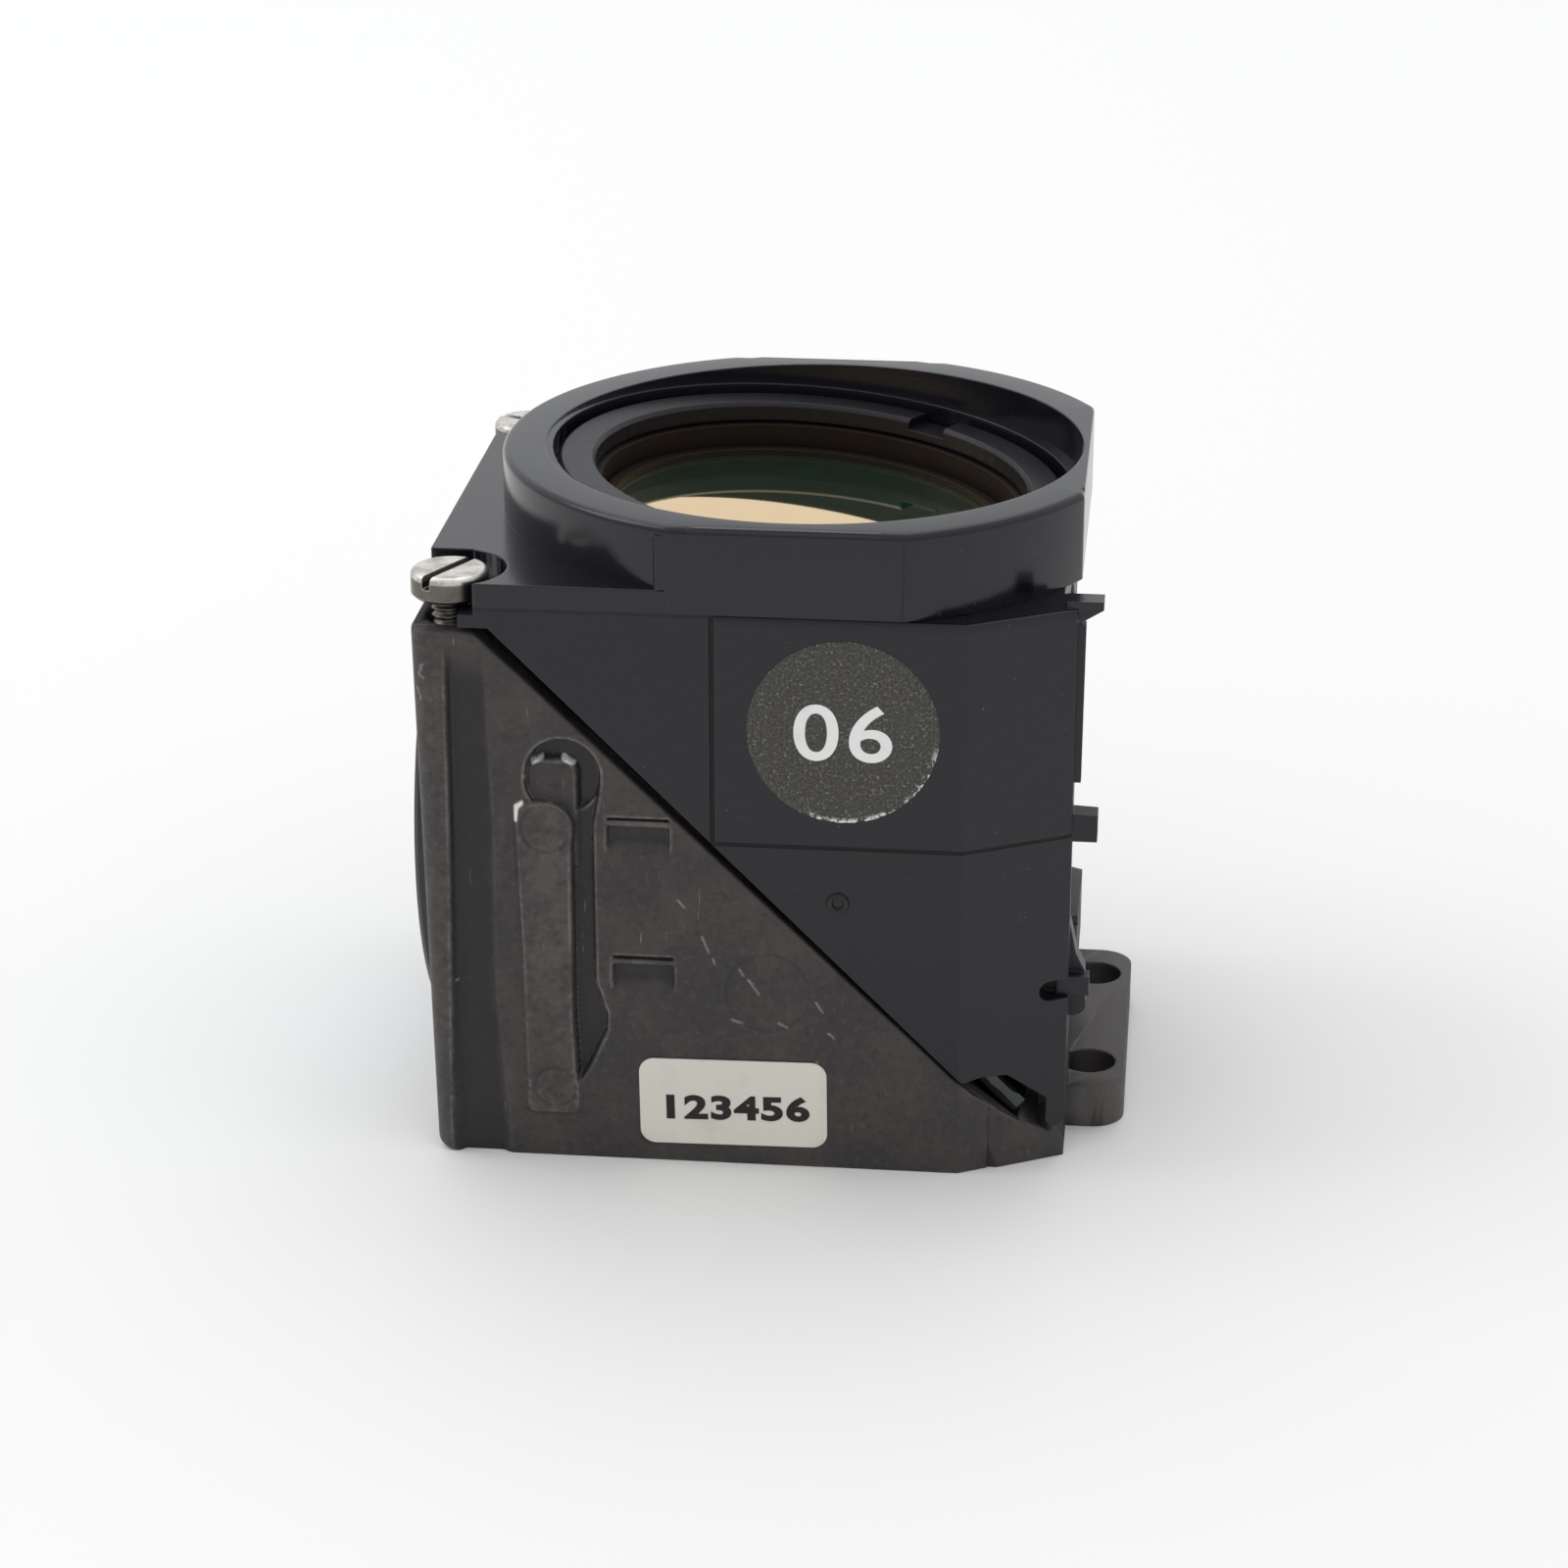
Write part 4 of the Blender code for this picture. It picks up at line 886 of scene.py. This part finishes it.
def screw_shank(radius, low, high, pitch=0.4 * MM, depth=0.2 * MM):
    """r = R - depth * |triangle wave of (z / pitch - a / 2 pi)|, tapered to a point below."""
    turns = int((high - low) / pitch * 10)
    z = np.linspace(low, high, turns)[:, None]
    angle = np.linspace(0.0, 2.0 * np.pi, 48, endpoint=False)[None, :]
    wave = np.abs(((z / pitch - angle / (2.0 * np.pi)) % 1.0) * 2.0 - 1.0)
    fade = np.clip((z - low) / (0.35 * MM), 0.0, 1.0)
    r = (radius - depth * wave) * (0.75 + 0.25 * fade)
    points = np.stack([r * np.cos(angle), r * np.sin(angle), np.broadcast_to(z, r.shape)], axis=-1)
    tip = points[:1].copy()
    tip[..., :2] = 0.0
    cap = points[-1:].copy()
    cap[..., :2] = 0.0
    points = np.concatenate([tip, points, cap])
    return points, grid_faces(points.shape[0], 48, wrap_columns=True)


head_height, slot_width, slot_depth, shank_r = 1.4 * MM, 0.5 * MM, 0.65 * MM, 0.95 * MM
slot_turns = (("clamp_screw_front", "front_screw", 62.0), ("clamp_screw_rear", "rear_screw", -25.0))
for which, body, turn in slot_turns:
    low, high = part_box(which)
    middle = ((low.x + high.x) / 2.0, (low.y + high.y) / 2.0, 0.0)
    head_r = (high.x - low.x) / 2.0
    head_low = high.z - head_height
    points, faces = screw_head(head_r, head_low, high.z, slot_width, slot_depth, math.radians(turn))
    head = new_piece(which + "_head", placed(points, middle), faces, body)
    points, faces = screw_shank(shank_r, low.z, head_low + 0.02 * MM)
    shank = new_piece(which + "_thread", placed(points, middle), faces, body, 60.0)
    wear(nickel, head, shank)
    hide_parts(which)


# %% [markdown]
# ## Labels
# A round dark sticker with a plain position number sits on the moulding, and a printed white
# tag on the casting. Both are thin sheets whose edge turns down to the face, and the figures
# are text made into a mesh 0.02 mm thick, so they catch no shadow but keep crisp outlines.

# %% Label sheets
def sheet_outline(half_w, half_h, corner, count=24):
    """Corners of a rounded rectangle, walked once round."""
    angle = np.linspace(0.0, np.pi / 2, count)
    parts = []
    for quarter, (sx, sz) in enumerate(((1, 1), (-1, 1), (-1, -1), (1, -1))):
        a = angle + quarter * np.pi / 2
        centre = np.array([sx * (half_w - corner), sz * (half_h - corner)])
        parts.append(centre + corner * np.stack([np.cos(a), np.sin(a)], axis=-1))
    return np.concatenate(parts)


def label(name, outline, centre, face_y, thickness, turn, body, rings=10):
    """Rings of the outline shrink to the middle; the last two turn down to the back."""
    c, s = math.cos(turn), math.sin(turn)
    share = np.concatenate([np.linspace(0.0, 0.985, rings), [1.0, 1.0]])
    back = np.concatenate([np.zeros(rings), [thickness * 0.5, thickness]])
    flat = share[:, None, None] * outline[None]
    x = flat[..., 0] * c - flat[..., 1] * s + centre[0]
    z = flat[..., 0] * s + flat[..., 1] * c + centre[1]
    y = face_y + np.broadcast_to(back[:, None], x.shape)
    points = np.stack([x, y, z], axis=-1)
    end = points[-1:].copy()
    end[..., 0], end[..., 2] = centre[0], centre[1]
    points = np.concatenate([points, end])
    faces = grid_faces(points.shape[0], len(outline), wrap_columns=True)
    return new_piece(name, points, faces, body)


def figures(name, words, width, height, centre, face_y, turn, body, weight=0.0):
    """Text made into a mesh of the given width and height, centred, facing the front."""
    text = bpy.data.curves.new(name, "FONT")
    text.body = words
    text.size = height
    text.extrude = 0.01 * MM
    text.offset = weight
    text.align_x = "CENTER"
    text.align_y = "CENTER"
    text.space_character = 1.1
    text.resolution_u = 8
    source = bpy.data.objects.new(name + "_text", text)
    bpy.context.scene.collection.objects.link(source)
    bpy.context.view_layer.update()
    evaluated = source.evaluated_get(bpy.context.evaluated_depsgraph_get())
    mesh = bpy.data.meshes.new_from_object(evaluated)
    bpy.data.objects.remove(source)
    work = bmesh.new()
    work.from_mesh(mesh)
    bmesh.ops.remove_doubles(work, verts=work.verts, dist=1e-6)
    bmesh.ops.recalc_face_normals(work, faces=work.faces)
    work.to_mesh(mesh)
    work.free()
    low = np.min([v.co[:2] for v in mesh.vertices], axis=0)
    high = np.max([v.co[:2] for v in mesh.vertices], axis=0)
    middle = (low + high) / 2.0
    centred = Matrix.Translation((-middle[0], -middle[1], 0.0))
    fit = Matrix.Diagonal((width / (high[0] - low[0]), height / (high[1] - low[1]), 1.0, 1.0))
    upright = Matrix.Rotation(math.pi / 2, 4, "X") @ Matrix.Rotation(turn, 4, "Z")
    mesh.transform(Matrix.Translation((centre[0], face_y, centre[1])) @ upright @ fit @ centred)
    return carried(name, mesh, body)


# %% Label finishes
def sticker_finish(centre, radius):
    """Speckled olive-grey film; the printed layer is worn off in flecks at the lower right edge."""
    made = Finish("sticker_film", Specular_IOR_Level=0.35)
    speck = made.noise(0.13 * MM, 3.0, 0.7)
    cloud = made.noise(1.2 * MM, 2.0, 0.5)
    colour = made.mix(made.step(speck, 0.42, 0.68), (0.042, 0.040, 0.034), (0.105, 0.102, 0.090))
    flake = made.step(made.noise(0.19 * MM, 2.0, 0.6), 0.6, 0.68)
    colour = made.mix(flake * 0.7, colour, (0.25, 0.24, 0.21))
    colour = made.mix(made.step(speck * 0.6 + cloud * 0.4, 0.6, 0.66), colour, (0.18, 0.175, 0.15))
    x = made.axis("X") - centre[0]
    z = made.axis("Z") - centre[1]
    far = made.step((x * x + z * z) ** 0.5, radius - 0.34 * MM, radius - 0.04 * MM)
    side = made.step(x * 0.5 - z, radius * 0.45, radius * 0.9)
    flecks = made.step(made.noise(0.5 * MM, 3.0, 0.7), 0.5, 0.56) * far * side
    made.set("Base Color", made.mix(flecks, colour, (0.75, 0.74, 0.72)))
    made.set("Roughness", 0.55 + 0.15 * speck)
    return made.bump(speck, 0.015 * MM)


def paper_finish(name, colour, roughness):
    """Printed paper or film: near even, with faint fibres and grime."""
    made = Finish(name, Specular_IOR_Level=0.3)
    fibre = made.noise(0.09 * MM, 3.0, 0.7)
    grime = made.noise(1.8 * MM, 4.0, 0.65)
    darker = [c * 0.86 for c in colour]
    made.set("Base Color", made.mix(made.step(grime, 0.5, 0.8) * 0.7, colour, darker))
    made.set("Roughness", roughness + 0.15 * fibre)
    return made.bump(fibre, 0.004 * MM)


# %% Labels and figures in their places
sticker_centre, sticker_r = (3.87 * MM, 24.18 * MM), 4.78 * MM
sticker_y = front_y - panel_proud - 0.07 * MM
tag_centre, tag_y = (-1.70 * MM, 3.48 * MM), front_y + 0.06 * MM
serial_centre = (tag_centre[0] + 0.25 * MM, tag_centre[1] - 0.25 * MM)
sheet = 0.09 * MM
sticker_ring = sheet_outline(sticker_r, sticker_r, sticker_r)
sticker = label("number_sticker", sticker_ring, sticker_centre, sticker_y, sheet, 0.0,
                "moulded_half")
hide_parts("number_disc")
wear(sticker_finish(sticker_centre, sticker_r), sticker)
tag_outline = sheet_outline(4.83 * MM, 2.4 * MM, 0.8 * MM)
tag = label("printed_tag", tag_outline, tag_centre, tag_y, sheet, math.radians(0.8),
            "die_cast_half")
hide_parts("paper_tag")
wear(paper_finish("tag_paper", (0.74, 0.71, 0.64), 0.5), tag)
number = figures("sticker_figures", "06", 4.9 * MM, 3.0 * MM, sticker_centre,
                 sticker_y - 0.005 * MM, 0.0, "moulded_half", 0.03 * MM)
wear(paper_finish("white_ink", (0.86, 0.86, 0.85), 0.42), number)
serial = figures("tag_figures", "123456", 7.4 * MM, 1.42 * MM, serial_centre,
                 tag_y - 0.005 * MM, math.radians(1.3), "die_cast_half", 0.06 * MM)
wear(paper_finish("black_ink", (0.016, 0.015, 0.013), 0.42), serial)

# %% [markdown]
# ## Floor, light and camera
# A pale seamless floor, a bright surround and two large soft lamps make a light tent, which
# small dark instruments need: their satin faces show mostly what they reflect. The surround
# grows brighter with the height of the direction, so upright faces come out darker than the
# tops. The camera looks down 22 degrees with a long lens, which keeps upright edges nearly
# parallel.

# %% Floor
def floor_finish():
    """Off-white, a touch warmer close to the object."""
    made = Finish("pale_floor", Roughness=0.6, Specular_IOR_Level=0.15)
    far = made.step(made.axis("Y"), 0.02, 0.6)
    made.set("Base Color", made.mix(far, (0.93, 0.925, 0.915), (0.93, 0.93, 0.93)))
    return made


span = np.linspace(-2.0, 2.0, 9)
floor_x, floor_y = np.meshgrid(span, span, indexing="ij")
floor_points = np.stack([floor_x, floor_y, np.full_like(floor_x, cad_low.z - 0.02 * MM)], axis=-1)
floor_mesh = bpy.data.meshes.new("floor")
floor_mesh.from_pydata(floor_points.reshape(-1, 3).tolist(), [], grid_faces(9, 9).tolist())
floor = bpy.data.objects.new("floor", floor_mesh)
bpy.context.scene.collection.objects.link(floor)
floor_mesh.materials.append(floor_finish().material)
floor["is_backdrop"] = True
print("floor at", round(floor_points[0, 0, 2] / MM, 3), "mm")

# %% Light
world = bpy.data.worlds.new("light_tent")
bpy.context.scene.world = world
world.use_nodes = True
tent = world.node_tree
background = tent.nodes["Background"]
direction = tent.nodes.new("ShaderNodeTexCoord")
lift = tent.nodes.new("ShaderNodeVectorMath")
lift.operation = "DOT_PRODUCT"
lift.inputs[1].default_value = (0.0, 0.35, 1.0)
height = tent.nodes.new("ShaderNodeMapRange")
for end, value in (("From Min", -0.35), ("From Max", 0.65), ("To Min", 0.48), ("To Max", 0.88)):
    height.inputs[end].default_value = value
tent.links.new(direction.outputs["Generated"], lift.inputs[0])
tent.links.new(lift.outputs["Value"], height.inputs["Value"])
tent.links.new(height.outputs["Result"], background.inputs["Strength"])
background.inputs["Color"].default_value = (0.98, 0.99, 1.0, 1.0)
bpy.context.scene.view_settings.view_transform = "Standard"


def lamp(name, location, size, power, aim=(0.0, 0.0, 0.015)):
    """A square soft lamp at a place in metres; it shines along its own -Z, at the object."""
    light = bpy.data.lights.new(name, "AREA")
    light.energy = power
    light.size = size
    item = bpy.data.objects.new(name, light)
    bpy.context.scene.collection.objects.link(item)
    item.location = location
    away = Vector(location) - Vector(aim)
    item.rotation_euler = Vector((0.0, 0.0, 1.0)).rotation_difference(away).to_euler()
    print(name, round(away.length, 2), "m away")


lamp("lamp_left", (-0.55, 0.0, 0.55), 0.4, 1.0)
lamp("lamp_back", (-0.10, 0.55, 1.30), 1.2, 3.5)

# %% Camera
camera_data = bpy.data.cameras.new("camera")
camera_data.lens = 93.8
camera_data.sensor_width = 36.0
camera_data.clip_start = 0.01
camera = bpy.data.objects.new("camera", camera_data)
bpy.context.scene.collection.objects.link(camera)
camera.location = (0.020134, -0.201933, 0.097336)
camera.rotation_euler = (math.radians(67.97), 0.0, math.radians(5.863))
bpy.context.scene.camera = camera
print("camera", camera_data.lens, "mm lens")

# %% Sizes of both models, for comparison
low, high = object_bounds()
print("visual box mm:", [round(v * 1000, 2) for v in high - low])
